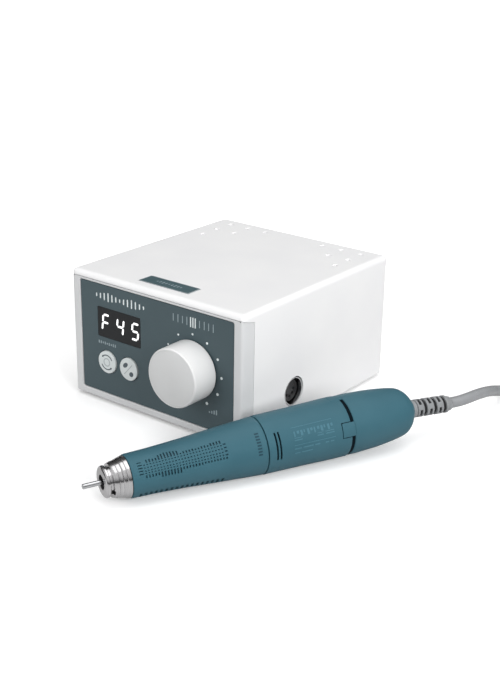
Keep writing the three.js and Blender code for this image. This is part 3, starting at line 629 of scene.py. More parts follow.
FOOT_RADIUS, FOOT_HEIGHT, SLOT_HALF = 5.0, 1.7, 0.25
foot_line = soft([(0, 0), (0, FOOT_RADIUS), (FOOT_HEIGHT, FOOT_RADIUS), (FOOT_HEIGHT, 0)], [0, 0.5, 0.2, 0])
for end, y in (("front", FOOT_FRONT), ("rear", FOOT_REAR)):
    for side, x in (("left", -FOOT_X), ("right", FOOT_X)):
        foot = make(f"rubber_foot_{end}_{side}", turned(foot_line, 48, upright_at(x, y)))
        fit(foot, "control_unit", "foot_rubber", [f"foot_{end}_{side}"], sharp=30)
screw_line = soft([(1.4, 0), (1.4, 2.2), (1.8, 2.7), (2.9, 2.7), (2.9, 1.4), (12, 1.4), (12, 0)], 0.15, 2)
for end, y in (("front", -36), ("rear", 40)):
    for side, x in (("left", -48.5), ("right", 48.5)):
        screw = make(f"cover_screw_{end}_{side}", turned(screw_line, 32, upright_at(x, y)))
        for long, short in ((1.6, SLOT_HALF), (SLOT_HALF, 1.6)):
            carve(screw, block(x - long, x + long, y - short, y + short, 1.0, 2.1))
        fit(screw, "control_unit", "bright_steel", [f"housing_screw_{end}_{side}"], sharp=30)

# ---------- control unit: front panel ----------

WINDOW_X, WINDOW_Z, WINDOW_WIDTH, WINDOW_HEIGHT = -23.8, 44.3, 29.1, 15.9
KEYS = {"reverse": -32.0, "select": -17.1}
KEY_Z, KEY_RADIUS, KEY_FACE = 23.3, 5.95, PANEL_FACE - 0.9
KNOB_X, KNOB_Z = 24.6, 34.6
panel = make("slate_front", prism(rounded(0, PANEL_Z, 99.3, 58.5, 1.2), "y", PANEL_FACE, PANEL_BACK))
openings = [rounded(WINDOW_X, WINDOW_Z, WINDOW_WIDTH + 0.2, WINDOW_HEIGHT + 0.2, 0.6)]
openings.append(disc(KNOB_X, KNOB_Z, 3.8))
openings += [disc(x, KEY_Z, KEY_RADIUS + GAP, 64) for x in KEYS.values()]
carve(panel, *[prism(opening, "y", FRONT - 1, PANEL_BACK + 1) for opening in openings])
ease(panel, 0.16)
fit(panel, "control_unit", "panel", ["front_panel"])

window_outline = rounded(WINDOW_X, WINDOW_Z, WINDOW_WIDTH, WINDOW_HEIGHT, 0.55)
window = make("display_glass", prism(window_outline, "y", PANEL_FACE + 0.05, PANEL_BACK))
ease(window, 0.1)
fit(window, "control_unit", "window", ["display_window"])


def on_panel(outline, proud=0.06, sink=0.15, face=PANEL_FACE):
    return prism(outline, "y", face - proud, face + sink)


def bar(x0, z0, x1, z1, width, tip=0.0):
    """A straight stroke between two points, with pointed or square ends."""
    d = Vector((x1 - x0, z1 - z0)).normalized()
    n = Vector((-d.y, d.x)) * width / 2
    a, b = Vector((x0, z0)), Vector((x1, z1))
    if tip:
        pts = [a - d * tip, a + n, b + n, b + d * tip, b - n, a - n]
    else:
        pts = [a + n, b + n, b - n, a - n]
    return [(p.x, p.y) for p in pts]


def segment_digit(x, z, lit, width=5.4, height=9.6, stroke=1.25, lean=0.12):
    """One seven-segment figure. lit names its segments: a top, then clockwise, g the middle."""
    w, h, s = width - stroke, (height - stroke) / 2, stroke
    left, gap = stroke / 2, 0.62 * stroke
    ends = {
        "a": (left + gap, 2 * h + s / 2, left + w - gap, 2 * h + s / 2),
        "b": (left + w, 2 * h + s / 2 - gap, left + w, h + s / 2 + gap),
        "c": (left + w, h + s / 2 - gap, left + w, s / 2 + gap),
        "d": (left + gap, s / 2, left + w - gap, s / 2),
        "e": (left, h + s / 2 - gap, left, s / 2 + gap),
        "f": (left, 2 * h + s / 2 - gap, left, h + s / 2 + gap),
        "g": (left + gap, h + s / 2, left + w - gap, h + s / 2),
    }
    shapes = []
    for name in lit:
        x0, z0, x1, z1 = ends[name]
        outline = bar(x0, z0, x1, z1, stroke * 0.92, stroke * 0.46)
        shapes.append(on_panel([(x + u + lean * v, z + v) for u, v in outline], 0.02, 0.1, PANEL_FACE + 0.05))
    return joined(*shapes)


def upright_bar(x, middle, tall, width, tip=0.0):
    return bar(x, middle - tall / 2, x, middle + tall / 2, width, tip)


digits = make("display_reading", joined(*[segment_digit(x, 39.6, lit) for x, lit in (
    (-36.1, "aefg"), (-26.2, "bcfg"), (-16.0, "acdfg"))]))
fit(digits, "control_unit", "window", material=LIT, sharp=30)

# a plain level motif above the display, three bars above the knob, and a ring of growing dots
DOT_RING, DOT, DOT_GROWTH = 17.9, 0.34, 0.045
marks = []
for k, tall in enumerate([1.4, 2.4, 3.4, 4.2, 3.4, 2.4, 1.4, 2.4, 3.4, 4.2, 3.4, 2.4, 1.4]):
    marks.append(on_panel(upright_bar(-38.6 + 2.65 * k, 58.3, tall, 0.75, 0.3)))
for x in (23.4, 24.85, 26.3):
    marks.append(on_panel(upright_bar(x, 58.4, 5.0, 0.62)))
for k in range(11):
    a = radians(240 - 30 * k)
    marks.append(on_panel(disc(*polar(KNOB_X, KNOB_Z, DOT_RING, a), DOT + DOT_GROWTH * k, 20)))
panel_scale = make("panel_scale", joined(*marks))
fit(panel_scale, "control_unit", "panel", material=WHITE_INK, sharp=30)

# fainter ones: below the display, at the end of the scale, and beside the three bars
faint = []
for k, tall in enumerate([1.5, 1.5, 0.9, 1.5, 0.9, 1.5, 0.9, 1.5, 1.5]):
    faint.append(on_panel(upright_bar(-37.8 + 1.4 * k, 33.2, tall, 0.62)))
for k in range(4):
    x = 35.2 + 1.45 * k
    faint.append(on_panel(bar(x, 14.6, x, 15.5 + 0.55 * k, 0.7)))
for k, x in enumerate((12.5, 15.5, 18.3, 21.1, 28.9, 31.8, 34.5, 37.3)):
    faint.append(on_panel(upright_bar(x, 58.45, 3.7 + 0.4 * (k % 2), 0.42)))
small_marks = make("panel_small_marks", joined(*faint))
fit(small_marks, "control_unit", "panel", material=FAINT_INK, sharp=30)
lid_marks = [prism(upright_bar(-7.6 + 1.9 * k, BADGE_Y, tall, 0.55, 0.2), "z", TOP, TOP + 0.14)
             for k, tall in enumerate([1.0, 1.7, 2.4, 1.7, 1.0, 1.7, 2.4, 1.7, 1.0])]
badge_marks = make("lid_badge_marks", joined(*lid_marks))
fit(badge_marks, "control_unit", "badge", material=FAINT_INK, sharp=30)


def arc_band(x, z, r, width, a0, a1, steps=16):
    angles = [radians(a0 + (a1 - a0) * i / steps) for i in range(steps + 1)]
    return ([polar(x, z, r + width / 2, a) for a in angles]
            + [polar(x, z, r - width / 2, a) for a in reversed(angles)])


def arrow_head(x, z, r, angle, size):
    a = radians(angle)
    p = Vector(polar(x, z, r, a))
    ahead = Vector((-sin(a), cos(a)))
    out = Vector((cos(a), sin(a)))
    return [tuple(q) for q in (p + out * size * 0.75, p + ahead * size * 1.3, p - out * size * 0.75)]


def blob(x, z, rx, rz, angle, sides=24):
    c, s = cos(radians(angle)), sin(radians(angle))
    return [(x + rx * cos(t) * c - rz * sin(t) * s, z + rx * cos(t) * s + rz * sin(t) * c)
            for t in (2 * pi * i / sides for i in range(sides))]


def strip(points, y0, y1):
    """A band whose outline runs out and back, as quads, so that it stays clean where it curves."""
    half = len(points) // 2
    outer, inner = points[:half], points[half:][::-1]
    verts = [(u, y, v) for y in (y0, y1) for ring in (outer, inner) for u, v in ring]
    n = half
    faces = [[0, n, 3 * n, 2 * n], [n - 1, 3 * n - 1, 4 * n - 1, 2 * n - 1]]
    for i in range(n - 1):
        faces += [[i, i + 1, n + i + 1, n + i], [2 * n + i, 3 * n + i, 3 * n + i + 1, 2 * n + i + 1],
                  [i, 2 * n + i, 2 * n + i + 1, i + 1], [n + i, n + i + 1, 3 * n + i + 1, 3 * n + i]]
    return verts, faces


def icon_shapes(key, x):
    """The sign on a key: its dark part and its lighter line."""
    y0, y1 = KEY_FACE - 0.05, KEY_FACE + 0.1
    if key == "reverse":
        dark = []
        for start in (25, 205):
            dark += [strip(arc_band(x, KEY_Z, 3.9, 0.55, start, start + 105), y0, y1),
                     prism(arrow_head(x, KEY_Z, 3.9, start + 105, 0.9), "y", y0, y1)]
        return joined(*dark), strip(arc_band(x, KEY_Z, 2.0, 0.5, 0, 356, 40), y0, y1)
    dark = joined(prism(blob(x - 1.9, KEY_Z + 1.9, 1.9, 1.15, 40), "y", y0, y1),
                  prism(blob(x + 2.0, KEY_Z - 2.2, 1.45, 1.25, 40), "y", y0, y1))
    return dark, prism(bar(x - 2.7, KEY_Z - 3.0, x + 2.7, KEY_Z + 3.0, 0.4), "y", y0, y1)


FLANGE_FACE, FLANGE_BACK, FLANGE_RADIUS, STEM_END = PANEL_BACK + GAP, PANEL_BACK + 1.6, 7.2, -55.4
stem_line = soft([(KEY_FACE, 0), (KEY_FACE, KEY_RADIUS), (FLANGE_FACE, KEY_RADIUS),
                  (FLANGE_FACE, FLANGE_RADIUS), (FLANGE_BACK, FLANGE_RADIUS),
                  (FLANGE_BACK, 2), (STEM_END, 2), (STEM_END, 0)],
                 [0, 0.35, 0, 0.2, 0.2, 0, 0, 0], 4)
for key, x in KEYS.items():
    cap = make(f"key_{key}_cap", turned(stem_line, 72, lambda s, u, v, x=x: (x + u, s, KEY_Z + v)))
    fit(cap, f"{key}_key", "button", [f"button_{key}"], sharp=30)
    dark, lighter = icon_shapes(key, x)
    fit(make(f"key_{key}_icon", dark), f"{key}_key", "button", material=DARK_INK, sharp=30)
    fit(make(f"key_{key}_icon_line", lighter), f"{key}_key", "button", material=GREY_INK, sharp=30)


def about_knob(s, u, v):
    return (KNOB_X + u, PANEL_FACE - s, KNOB_Z + v)


knob_line = soft([(0.5, 7.4), (0.5, 15.0), (14.8, 14.9), (15.45, 14.4), (15.5, 14.0), (15.5, 13.95),
                  (15.1, 13.9), (15.1, 0), (12.6, 0), (12.6, 2.8), (4.6, 2.8), (4.6, 7.4)],
                 [0.2, 0.5, 0.35, 0.2, 0.02, 0, 0, 0, 0, 0, 0, 0.2], 5)
knob = make("speed_dial", turned(knob_line, 128, about_knob))
fit(knob, "knob", "knob", ["speed_knob"], sharp=30)
face_line = soft([(15.0, 0), (15.0, 13.88), (15.47, 13.88), (15.47, 0)], [0, 0, 0.05, 0], 2)
dial_face = make("dial_face", turned(face_line, 128, about_knob))
fit(dial_face, "knob", "knob", material=DISC, sharp=30)


# ---------- control unit: socket and rear ----------

def about_socket(s, u, v):
    return (s, SOCKET_Y + u, SOCKET_Z + v)


RING_INNER = 6.7
SOCKET_FACE = SIDE - 2.4
ring_line = soft([(SIDE - 14, 0), (SIDE - 14, SOCKET_HOLE), (SIDE - 0.4, SOCKET_HOLE),
                  (SIDE - 0.4, RING_INNER),
                  (SIDE - 13, RING_INNER), (SIDE - 13, 0)], [0, 0.2, 0.25, 0.25, 0.2, 0])
socket_ring = make("socket_ring", turned(ring_line, 72, about_socket))
fit(socket_ring, "control_unit", "bright_steel", ["socket_shell"], sharp=30)
core_line = soft([(SOCKET_FACE - 9, 0), (SOCKET_FACE - 9, 5.7), (SOCKET_FACE, 5.7), (SOCKET_FACE, 4.7),
                  (SOCKET_FACE - 0.5, 4.5), (SOCKET_FACE - 0.5, 0)], [0, 0.2, 0.3, 0.2, 0.1, 0])
socket_core = make("socket_core", turned(core_line, 64, about_socket))
contacts = [prism(disc(SOCKET_Y + u, SOCKET_Z + v, 0.8, 20), "x", SOCKET_FACE - 6, SOCKET_FACE + 1)
            for u, v in PIN_PLACES]
key_way = block(SOCKET_FACE - 6, SOCKET_FACE + 1, SOCKET_Y - 1, SOCKET_Y + 1, SOCKET_Z + 4.3, SOCKET_Z + 8)
carve(socket_core, *contacts, key_way)
fit(socket_core, "control_unit", "dark_plastic", ["socket_insert"], sharp=30)


def rear_outline(x, width, height, r):
    return rounded(x, FITTING_Z, width, height, r)


inlet = make("inlet_body", prism(rear_outline(INLET_X, 35, 26, 2.5), "y", REAR + GAP, REAR + 2))
carve(inlet, prism(rear_outline(INLET_X, *INLET_SIZE, 1), "y", REAR - 21, REAR + 1), operation="UNION")
cavity = [(-12, -8.5), (12, -8.5), (12, 4.5), (8, 8.5), (-8, 8.5), (-12, 4.5)]
carve(inlet, prism([(INLET_X + u, FITTING_Z + v) for u, v in cavity], "y", REAR - 18, REAR + 3))
ease(inlet, 0.35)
fit(inlet, "control_unit", "inlet_plastic", ["power_inlet"])
blades = [block(INLET_X + u - 1, INLET_X + u + 1, REAR - 19, REAR - 7, FITTING_Z + v - 2, FITTING_Z + v + 2)
          for u, v in ((-7, -1.5), (0, 2.5), (7, -1.5))]
inlet_pins = make("inlet_pins", joined(*blades))
ease(inlet_pins)
fit(inlet_pins, "control_unit", "bright_steel")

switch = make("switch_frame", prism(rear_outline(SWITCH_X, 16, 22, 1.2), "y", REAR + GAP, REAR + 1.8))
carve(switch, prism(rear_outline(SWITCH_X, *SWITCH_SIZE, 1), "y", REAR - 14, REAR + 1), operation="UNION")
carve(switch, prism(rear_outline(SWITCH_X, 10.6, 16.6, 0.6), "y", REAR - 12, REAR + 3))
ease(switch)
fit(switch, "control_unit", "inlet_plastic", ["rocker_frame"])

# the rocker's outline as (height, outwards) from its pivot, and its tip at rest
ROCKER_PIVOT, ROCKER_HALF, ROCKER_TIP = REAR - 2, 4.5, radians(8)
rocker_line = [(-7.5, 1.2), (-7.5, 4.6), (0, 3.4), (7.5, 4.6), (7.5, 1.2), (2.2, -4.5), (-2.2, -4.5)]
c, s = cos(ROCKER_TIP), sin(ROCKER_TIP)
tipped = [(ROCKER_PIVOT + out * c - up * s, FITTING_Z + up * c + out * s) for up, out in rocker_line]
rocker = make("rocker_key", prism(tipped, "x", SWITCH_X - ROCKER_HALF, SWITCH_X + ROCKER_HALF))
ease(rocker, 0.35, 3)
fit(rocker, "power_key", "inlet_plastic", ["power_rocker"])

# ---------- handpiece: s along the axis, angles round it ----------

SIDES = 240  # 1.5 degrees each


def around(s, r, degrees):
    """A point on the handpiece. Degrees count up from level, on the side that faces the camera."""
    a = radians(degrees)
    return Vector((-r * cos(a), r * sin(a), s))


def sunk(obj, outer, marks, thickness, depth):
    """Presses pockets into the shell, and gives their floors the piece's second material, which paints shade
    there. marks are (s0, s1, low angle, high angle).
    """
    bm = bmesh.new()
    bm.from_mesh(obj.data)
    inverse = HAND.inverted()
    chosen = []
    for f in bm.faces:
        co = inverse @ f.calc_center_median()
        phi = atan2(co.y, -co.x) / radians(1)
        outside = abs(hypot(co.x, co.y) - outer(co.z)) <= 0.4
        if outside and any(s0 < co.z < s1 and a0 < phi < a1 for s0, s1, a0, a1 in marks):
            chosen.append(f)
    bmesh.ops.inset_region(bm, faces=chosen, thickness=thickness * MM, depth=-depth * MM,
                           use_even_offset=True, use_boundary=True)
    # the pocket floors: material 1, painted shade
    for f in chosen:
        f.material_index = 1
    bm.to_mesh(obj.data)
    bm.free()


def interpolated(table):
    def value(s):
        for (s0, r0), (s1, r1) in zip(table, table[1:]):
            if s <= s1:
                return r0 + (r1 - r0) * (s - s0) / (s1 - s0)
        return table[-1][1]
    return value


def both(marks):
    """The marks, and the same ones on the far side."""
    return marks + [(s0, s1, a0 + turn, a1 + turn) for s0, s1, a0, a1 in marks
                    for turn in [180 if a0 < 0 else -180]]


# the grip: dashes in six rows, and notches below them, their floors dark teal as painted shade
SLEEVE_START, SLEEVE_ROUND_END, SLEEVE_END = 13.3, 14.4, 76.5
sleeve_radius = interpolated([(SLEEVE_START, 9.7), (14, 9.9), (25, 10.18), (40, 11), (58, 12.35),
                              (SLEEVE_END, 13.6)])
FIRST_COLUMN, COLUMN_PITCH, COLUMNS, DASH_HALF = 18.0, 1.43, 28, 0.36
FIRST_NOTCH, NOTCH_PITCH, NOTCHES, NOTCH_HALF = 17.0, 2.39, 17, 0.62
TOP_ENDS = [60, 60, 58.5, 58.5, 64.5, 66, 67.5, 66, 66, 64.5, 63, 54, 57, 57, 57, 57, 55.5, 55.5, 57, 57,
            55.5, 58.5, 58.5, 58.5, 58.5]  # the top row's upper angles, from the third column
columns = [FIRST_COLUMN + COLUMN_PITCH * c for c in range(COLUMNS)]
grid_start, grid_end = FIRST_COLUMN - 1.6, columns[-1] + 0.9
deep, shallow = [], []
for c, s in enumerate(columns):
    a, b = s - DASH_HALF, s + DASH_HALF
    if 2 <= c < COLUMNS - 1:
        deep.append((a, b, 51, TOP_ENDS[c - 2]))
    if c >= 1:
        lower = 13.5 if c < 6 else 7.5 if c < 13 else 15.0 if c < 20 else 16.5
        deep.append((a, b, lower, 21.0))
    if 1 <= c < COLUMNS - 1:
        shallow += [(a, b, row - 2.2, row + 2.2) for row in (46.5, 39.0, 31.5, 25.5)]
deep += [(grid_start, FIRST_COLUMN + DASH_HALF, row - 1.5, row + 1.5)
         for row in (55.5, 48.0, 40.5, 33.0, 25.5)]
deep += [(columns[-1] - DASH_HALF, grid_end, row - 1.5, row + 1.5) for row in (48.0, 40.5, 33.0, 25.5)]
notch_places = [FIRST_NOTCH + NOTCH_PITCH * k for k in range(NOTCHES)]
notches = [(s - NOTCH_HALF, s + NOTCH_HALF, -57, -33) for s in notch_places]

edges = {s for mark in deep + shallow + notches for s in mark[:2]}
merged = []
for s in sorted(edges):
    if not merged or s - merged[-1] > 0.07:
        merged.append(s)
stations = [SLEEVE_START, 13.45, 13.8, SLEEVE_ROUND_END, 15.4] + [s for s in merged if s > 15.6]
stations += [60, 64, 68, 72, 75.4, 76.1, SLEEVE_END]
sleeve_line = []
for s in stations:
    r = sleeve_radius(s) - {76.1: 0.05, SLEEVE_END: 0.3}.get(s, 0)
    if s < SLEEVE_ROUND_END:
        r = 9.5 + 0.41 * sqrt(max(0.0, 1 - ((SLEEVE_ROUND_END - s) / (SLEEVE_ROUND_END - SLEEVE_START)) ** 2))
    sleeve_line.append((s, r))
sleeve_line += [(SLEEVE_END, 10.5), (46, 10.5), (42, 9.1), (SLEEVE_START, 9.1)]
sleeve = make("grip_shell", turned(sleeve_line, SIDES), HAND)
sunk(sleeve, sleeve_radius, both(deep), 0.07, 0.5)
sunk(sleeve, sleeve_radius, both(shallow), 0.1, 0.35)
sunk(sleeve, sleeve_radius, both(notches), 0.14, 0.75)
fit(sleeve, "grip", "teal_shell", ["grip_sleeve"], sharp=32)
# dark teal on the pocket floors: painted shade
sleeve.data.materials.append(DARK_TEAL_MARK_AND_PAINTED_SHADE)

# the motor's housing, with two vents on each side and a groove round the latch, their floors near-black as
# painted shade
SHELL_START, SHELL_END = 76.9, 119.55
VENTS, VENT_LOW, VENT_HIGH = ((80.5, 81.4), (82.25, 83.15)), -10.5, 45
LATCH_START, LATCH_END, LATCH_LOW, LATCH_HIGH = 114.7, 121.2, 4.5, 31.5
GROOVE_START, GROOVE_END, GROOVE_ANGLE = 114.3, 119.2, 1.5
body_radius = interpolated([(SHELL_START, 13.7), (95, 13.95), (112, 14.4), (120.6, 14.5)])
drops = {SHELL_START: 0.25, 77.05: 0.06, 119.1: 0.04, 119.3: 0.12, 119.5: 0.5, SHELL_END: 0.62}
stations = sorted({77.4, 90, 95, 104, 112, 117, GROOVE_START, LATCH_START, *drops, *VENTS[0], *VENTS[1]})
shell_line = [(s, body_radius(s) - drops.get(s, 0)) for s in stations]
body = make("motor_shell", turned(shell_line + [(SHELL_END, 12.5), (SHELL_START, 12.5)], SIDES), HAND)
sunk(body, body_radius, both([(*vent, VENT_LOW, VENT_HIGH) for vent in VENTS]), 0.06, 0.6)
sunk(body, body_radius, [(GROOVE_START, LATCH_START, LATCH_LOW - GROOVE_ANGLE, LATCH_HIGH + GROOVE_ANGLE),
                         (LATCH_START, GROOVE_END, LATCH_LOW - GROOVE_ANGLE, LATCH_LOW),
                         (LATCH_START, GROOVE_END, LATCH_HIGH, LATCH_HIGH + GROOVE_ANGLE)], 0.05, 0.25)
fit(body, "handpiece", "teal_shell", ["motor_housing"], sharp=32)
# near-black on the vent and groove floors: painted shade
body.data.materials.append(PAINTED_SLIT_SHADE)


def patch(s0, s1, a0, a1, radius, lift, sink=0.3):
    """A thin plate that follows the shell, standing a little proud of it."""
    steps = max(1, int((a1 - a0) / 3))
    lengths = max(1, int((s1 - s0) / 4))
    verts, faces = [], []
    for height in (-sink, lift):
        for i in range(lengths + 1):
            s = s0 + (s1 - s0) * i / lengths
            verts += [around(s, radius(s) + height, a0 + (a1 - a0) * k / steps) for k in range(steps + 1)]
    row, layer = steps + 1, (lengths + 1) * (steps + 1)
    for i in range(lengths):
        for k in range(steps):
            q = [i * row + k, i * row + k + 1, (i + 1) * row + k + 1, (i + 1) * row + k]
            faces += [q, [v + layer for v in reversed(q)]]
        for k in (0, steps):
            faces.append([i * row + k, (i + 1) * row + k, (i + 1) * row + k + layer, i * row + k + layer])
    for k in range(steps):
        for i in (0, lengths):
            faces.append([i * row + k, i * row + k + 1, i * row + k + 1 + layer, i * row + k + layer])
    return verts, faces


latch = make("latch_tab", patch(LATCH_START + 0.03, LATCH_END, LATCH_LOW + 0.2, LATCH_HIGH - 0.2, body_radius,
                                0.1, 0.5), HAND)
ease(latch, 0.12)
fit(latch, "handpiece", "teal_shell")
top_latch = make("latch_tab_top", patch(LATCH_START + 0.1, LATCH_END, 84.0, 106.0, body_radius, 0.12, 0.5),
                 HAND)
ease(top_latch, 0.2)
fit(top_latch, "handpiece", "teal_shell")

# raised marks in a label area, all plain: two rules, a row of strokes, and short dashes
raised = [(89.4, 110.3, 45.6, 46.8), (89.4, 110.5, 11.4, 12.6)]
for k in range(12):
    s = 90.0 + 1.72 * k
    raised.append((s, s + (1.15 if k % 3 else 0.7), 33.0 if k % 2 else 28.0, 38.5))
for s0, s1 in ((89.8, 93.8), (101.5, 104.6), (105.8, 110.3)):
    raised += [(s0, s1, 20.5, 22.5), (s0, s1, 25.0, 26.4)]
for s0, s1 in ((89.4, 93.0), (93.8, 99.0), (99.8, 102.4), (105.2, 107.0), (107.8, 109.6)):
    raised.append((s0, s1, 4.2, 6.6))
for s0, s1 in ((89.6, 92.2), (93.0, 98.6)):
    raised.append((s0, s1, -4.4, -2.2))
label = make("shell_marks", joined(*[patch(*mark, body_radius, 0.1) for mark in raised]), HAND)
fit(label, "handpiece", "teal_shell", material=PALE_TEAL, sharp=30)
lock_marks = make("lock_marks", joined(*[patch(71.6, 73.6, a, a + 3.2, sleeve_radius, 0.06)
                                         for a in range(8, 51, 6)]), HAND)
fit(lock_marks, "grip", "teal_shell", material=DARK_TEAL_MARK_AND_PAINTED_SHADE, sharp=30)

# the rear cap, and a near-black ring in front of it: painted shade in the step at the joint
CAP_START, RING_START, RING_END, RING_RADIUS = 121.25, 119.4, 121.35, 13.85
cap_line = [(CAP_START, 12.5), (CAP_START, 13.7), (121.3, 14.0), (121.5, 14.2)]
cap_line += [tuple(p) for p in curve_through([
    (122, 14.25), (126.5, 14.3), (131, 14.1), (136, 13.9), (141, 13.5), (146, 12.9), (150, 12.3),
    (153.5, 11.4), (156.2, 9.6), (158.3, 7.2), (159.6, 5.3)], 5)]
cap_line += [(159.95, 4.95), (159.9, 4.85), (155.6, 4.85), (155.6, 8), (148, 10.6), (139, 12)]
cap = make("rear_shell", turned(cap_line, 160), HAND)
fit(cap, "handpiece", "teal_shell", ["rear_cap"], sharp=40)
seam_line = [(RING_START, 12.9), (RING_START, RING_RADIUS), (RING_END, RING_RADIUS), (RING_END, 12.9)]
seam_shade_ring = make("seam_shade_ring", turned(seam_line, 160), HAND)
fit(seam_shade_ring, "handpiece", "dark_plastic", material=PAINTED_SLIT_SHADE, sharp=30)

# the strain relief: rings cut by grooves right round and by short slots between them
BORE, CORE, RELIEF_RADIUS = CORD_RADIUS + GAP, 3.45, 4.4
relief_line = [(150, BORE), (150, 6.6), (155, 6.6), (155, RELIEF_RADIUS), (SAG_FROM, RELIEF_RADIUS),
               (162.3, RELIEF_RADIUS), (162.35, 3.9), (162.65, 3.9), (162.7, RELIEF_RADIUS)]
for middle in (167.1, 172.8, 178.4):
    relief_line += [(middle - 0.9, RELIEF_RADIUS), (middle - 0.85, CORE), (middle + 0.85, CORE),
                    (middle + 0.9, RELIEF_RADIUS)]
relief_line += [(180.6, RELIEF_RADIUS), (181.4, 3.9), (RELIEF_END, CORE), (RELIEF_END, BORE),
                (SAG_FROM, BORE)]
relief = make("cord_guard", turned(soft(relief_line, 0.12, 2), 64, lambda s, u, v: (u, v - sag(s), s)), HAND)
slots = []
for middle in (164.5, 170.1, 175.6):
    hung = Vector((0, -sag(middle), 0))
    for degrees in (72, -18, -108, -198):
        out, across = around(0, 1, degrees), around(0, 1, degrees + 90)
        slots.append(six_faced([out * r + across * w + Vector((0, 0, middle + h)) + hung
                                for h in (-0.75, 0.75)
                                for r, w in ((CORE, -1.75), (5.5, -2.9), (5.5, 2.9), (CORE, 1.75))]))
carve(relief, *slots, place=HAND)
fit(relief, "handpiece", "grey_rubber", ["strain_relief"], sharp=30)
# painted shade: the bottoms of the grooves and slots are coloured black
second(relief, BLACK_TIE_AND_GROOVE_SHADE, lambda co: 160 < co.z < 181 and hypot(co.x, co.y + sag(co.z)) < CORE + 0.1)

# the steel nose, with two key slots
SLOT_S, SLOT_ANGLE, SLOT_MIDDLE, SLOT_HALF_DEPTH, SLOT_HALF_WIDTH = 5.0, -23, 7.2, 1.35, 1.3
NOSE_BORE = 3.3
nose_line = [
    (2.1, NOSE_BORE), (2.1, 6.2), (2.5, 6.9), (3.1, 7.2), (3.9, 7.2), (4.3, 6.6), (5.2, 6.6), (5.6, 7.6),
    (7.6, 8.25), (7.8, 8.0), (8.0, 8.15), (9.4, 8.55), (9.5, 8.42), (9.7, 8.65), (11.2, 9.1), (11.3, 8.96),
    (11.5, 9.2), (13, 9.6), (13, 8.7), (20, 8.7), (20, 5.5), (8.4, 5.5), (8.4, NOSE_BORE)]
nose = make("nose_collar", turned(soft(nose_line, 0.1, 2), 144), HAND)
slots = []
for degrees in (SLOT_ANGLE, SLOT_ANGLE + 180):
    out, across = around(0, 1, degrees), around(0, 1, degrees + 90)
    slots.append(six_faced([around(SLOT_S + h, SLOT_MIDDLE, degrees) + out * o * SLOT_HALF_DEPTH
                            + across * w * SLOT_HALF_WIDTH
                            for h in (-0.9, 0.9) for o, w in ((-1, -1), (1, -1), (1, 1), (-1, 1))]))
carve(nose, *slots, place=HAND)


def in_slot(co):
    """Whether a face is inside one of the two key slots."""
    for degrees in (SLOT_ANGLE, SLOT_ANGLE + 180):
        out, across = co.dot(around(0, 1, degrees)), co.dot(around(0, 1, degrees + 90))
        if 5.8 < out < 7.5 and abs(across) < SLOT_HALF_WIDTH + 0.05 and abs(co.z - SLOT_S) < 0.95:
            return True
    return False


fit(nose, "handpiece", "steel", ["nose_cone"], sharp=25)
# painted shade: the bore and the key slots are coloured charcoal instead of steel
second(nose, LOOKS["dark_plastic"], lambda co: hypot(co.x, co.y) < NOSE_BORE + 0.15 or in_slot(co))

SHANK_TIP, SHANK_END, SHANK_RADIUS = -6.6, 25, 1.17
shank_line = soft([(SHANK_TIP, 0), (SHANK_TIP, SHANK_RADIUS), (SHANK_END, SHANK_RADIUS), (SHANK_END, 0)],
                  [0, 0.4, 0.2, 0], 4)
shank = make("bur_pin", turned(shank_line, 40), HAND)
fit(shank, "bur_shank", "bright_steel", ["bur"], sharp=30)

# ---------- CAD nodes: their finishes ----------

slot_of = {node: slot for slot, nodes in NODES_BY_SLOT.items() for node in nodes}
for node, obj in frame["nodes"].items():
    obj.data.materials.clear()
    obj.data.materials.append(LOOKS[slot_of.get(node, "housing")])

# ---------- floor ----------

FLOOR_HALF = 6
floor_mesh = bpy.data.meshes.new("floor")
corners = [(x * FLOOR_HALF, y * FLOOR_HALF, 0) for x, y in ((-1, -1), (1, -1), (1, 1), (-1, 1))]
floor_mesh.from_pydata(corners, [], [[0, 1, 2, 3]])
floor = bpy.data.objects.new("floor", floor_mesh)
scene.collection.objects.link(floor)
floor_look = bpy.data.materials.new("pale_floor")
floor_look.use_nodes = True
tree, link = floor_look.node_tree, floor_look.node_tree.links.new
unseen = tree.nodes["Principled BSDF"]  # what the object's surfaces get from the floor
unseen.inputs["Base Color"].default_value = (0.56, 0.56, 0.56, 1)
unseen.inputs["Roughness"].default_value = 0.5
unseen.inputs["Specular IOR Level"].default_value = 0.2
# the floor as the camera sees it: pale, plus a painted glow that is dimmest next to the object and brighter
# away from it
seen = add_node(tree, "BsdfDiffuse", Color=(0.9, 0.9, 0.9, 1))
spot = add_node(tree, "TexCoord")
distance = add_node(tree, "VectorMath")
distance.operation = "LENGTH"
link(spot.outputs["Object"], distance.inputs[0])
rise = add_node(tree, "MapRange", From_Min=0.2, From_Max=1.2, To_Min=0.15, To_Max=1.1)
link(distance.outputs["Value"], rise.inputs["Value"])
glow = add_node(tree, "Emission")  # brighter away from the object
link(rise.outputs["Result"], glow.inputs["Strength"])
lifted = add_node(tree, "AddShader")
link(seen.outputs["BSDF"], lifted.inputs[0])
link(glow.outputs["Emission"], lifted.inputs[1])
either = add_node(tree, "MixShader")
link(add_node(tree, "LightPath").outputs["Is Camera Ray"], either.inputs["Fac"])
link(unseen.outputs["BSDF"], either.inputs[1])
link(lifted.outputs["Shader"], either.inputs[2])
link(either.outputs["Shader"], tree.nodes["Material Output"].inputs["Surface"])
floor_mesh.materials.append(floor_look)

# ---------- world: white where it is seen, and a room that is brighter above for the rest ----------

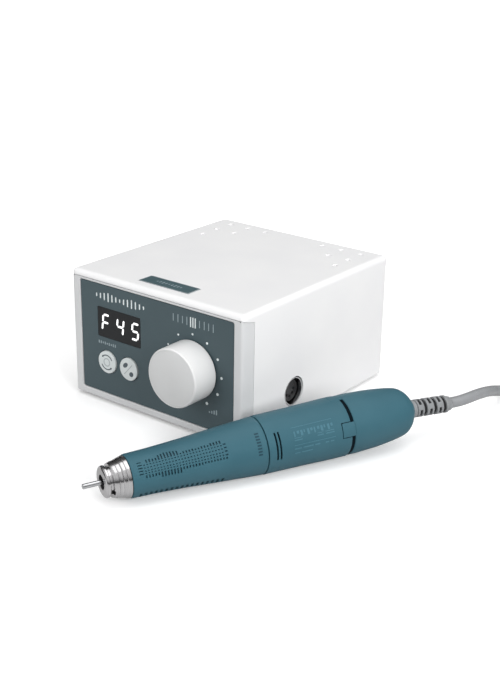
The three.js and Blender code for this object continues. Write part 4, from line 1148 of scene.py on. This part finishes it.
world = bpy.data.worlds.new("studio")
scene.world = world
world.use_nodes = True
tree, link = world.node_tree, world.node_tree.links.new
background = tree.nodes["Background"]
background.inputs["Strength"].default_value = 0.75
sky = add_node(tree, "TexCoord")
split = add_node(tree, "SeparateXYZ")
link(sky.outputs["Generated"], split.inputs["Vector"])
fade = add_node(tree, "ValToRGB")  # a dark line at the horizon
stops = fade.color_ramp.elements
stops.new(0.3)
for stop, (position, colour) in zip(stops, ((0.14, (0.02, 0.02, 0.02, 1)), (0.3, (0.5, 0.5, 0.51, 1)),
                                            (0.6, (1, 1, 1, 1)))):
    stop.position = position
    stop.color = colour
link(split.outputs["Z"], fade.inputs["Fac"])
behind = add_node(tree, "VectorMath")  # the room is darker behind the object
behind.operation = "DOT_PRODUCT"
behind.inputs[1].default_value = (-0.62, 0.78, 0)
link(sky.outputs["Generated"], behind.inputs[0])
dim = add_node(tree, "MapRange", From_Max=0.6, To_Min=1.0, To_Max=0.1)
link(behind.outputs["Value"], dim.inputs["Value"])
shaded = add_node(tree, "VectorMath")
shaded.operation = "MULTIPLY"
link(fade.outputs["Color"], shaded.inputs[0])
link(dim.outputs["Result"], shaded.inputs[1])
mix = add_node(tree, "Mix")
mix.data_type = "RGBA"
mix.inputs["B"].default_value = (1.6, 1.6, 1.6, 1)
link(add_node(tree, "LightPath").outputs["Is Camera Ray"], mix.inputs["Factor"])
link(shaded.outputs["Vector"], mix.inputs["A"])
link(mix.outputs["Result"], background.inputs["Color"])

# ---------- lights ----------

ABOUT_UNIT = (0, 0, 0.03)


def area(name, spot, watts, size, tall=None, target=ABOUT_UNIT, mirrored=False):
    """A light panel. mirrored says whether shiny surfaces show it."""
    light = bpy.data.lights.new(name, "AREA")
    light.energy = watts
    light.size = size
    if tall:
        light.shape = "RECTANGLE"
        light.size_y = tall
    obj = bpy.data.objects.new(name, light)
    obj.location = spot
    obj.rotation_euler = (Vector(target) - Vector(spot)).to_track_quat("-Z", "Y").to_euler()
    obj.visible_glossy = mirrored
    scene.collection.objects.link(obj)


area("overhead", (0.1, 0.2, 1.6), 10.4, 1.6, target=(0, 0, 0), mirrored=True)
area("key_right", (1.45, -0.3, 0.72), 23.4, 1.2, tall=0.6)
area("fill_left", (-0.5, -1.4, 0.6), 11.5, 1.0)
area("fill_rear", (-0.3, 1.6, 0.7), 5, 1.0)
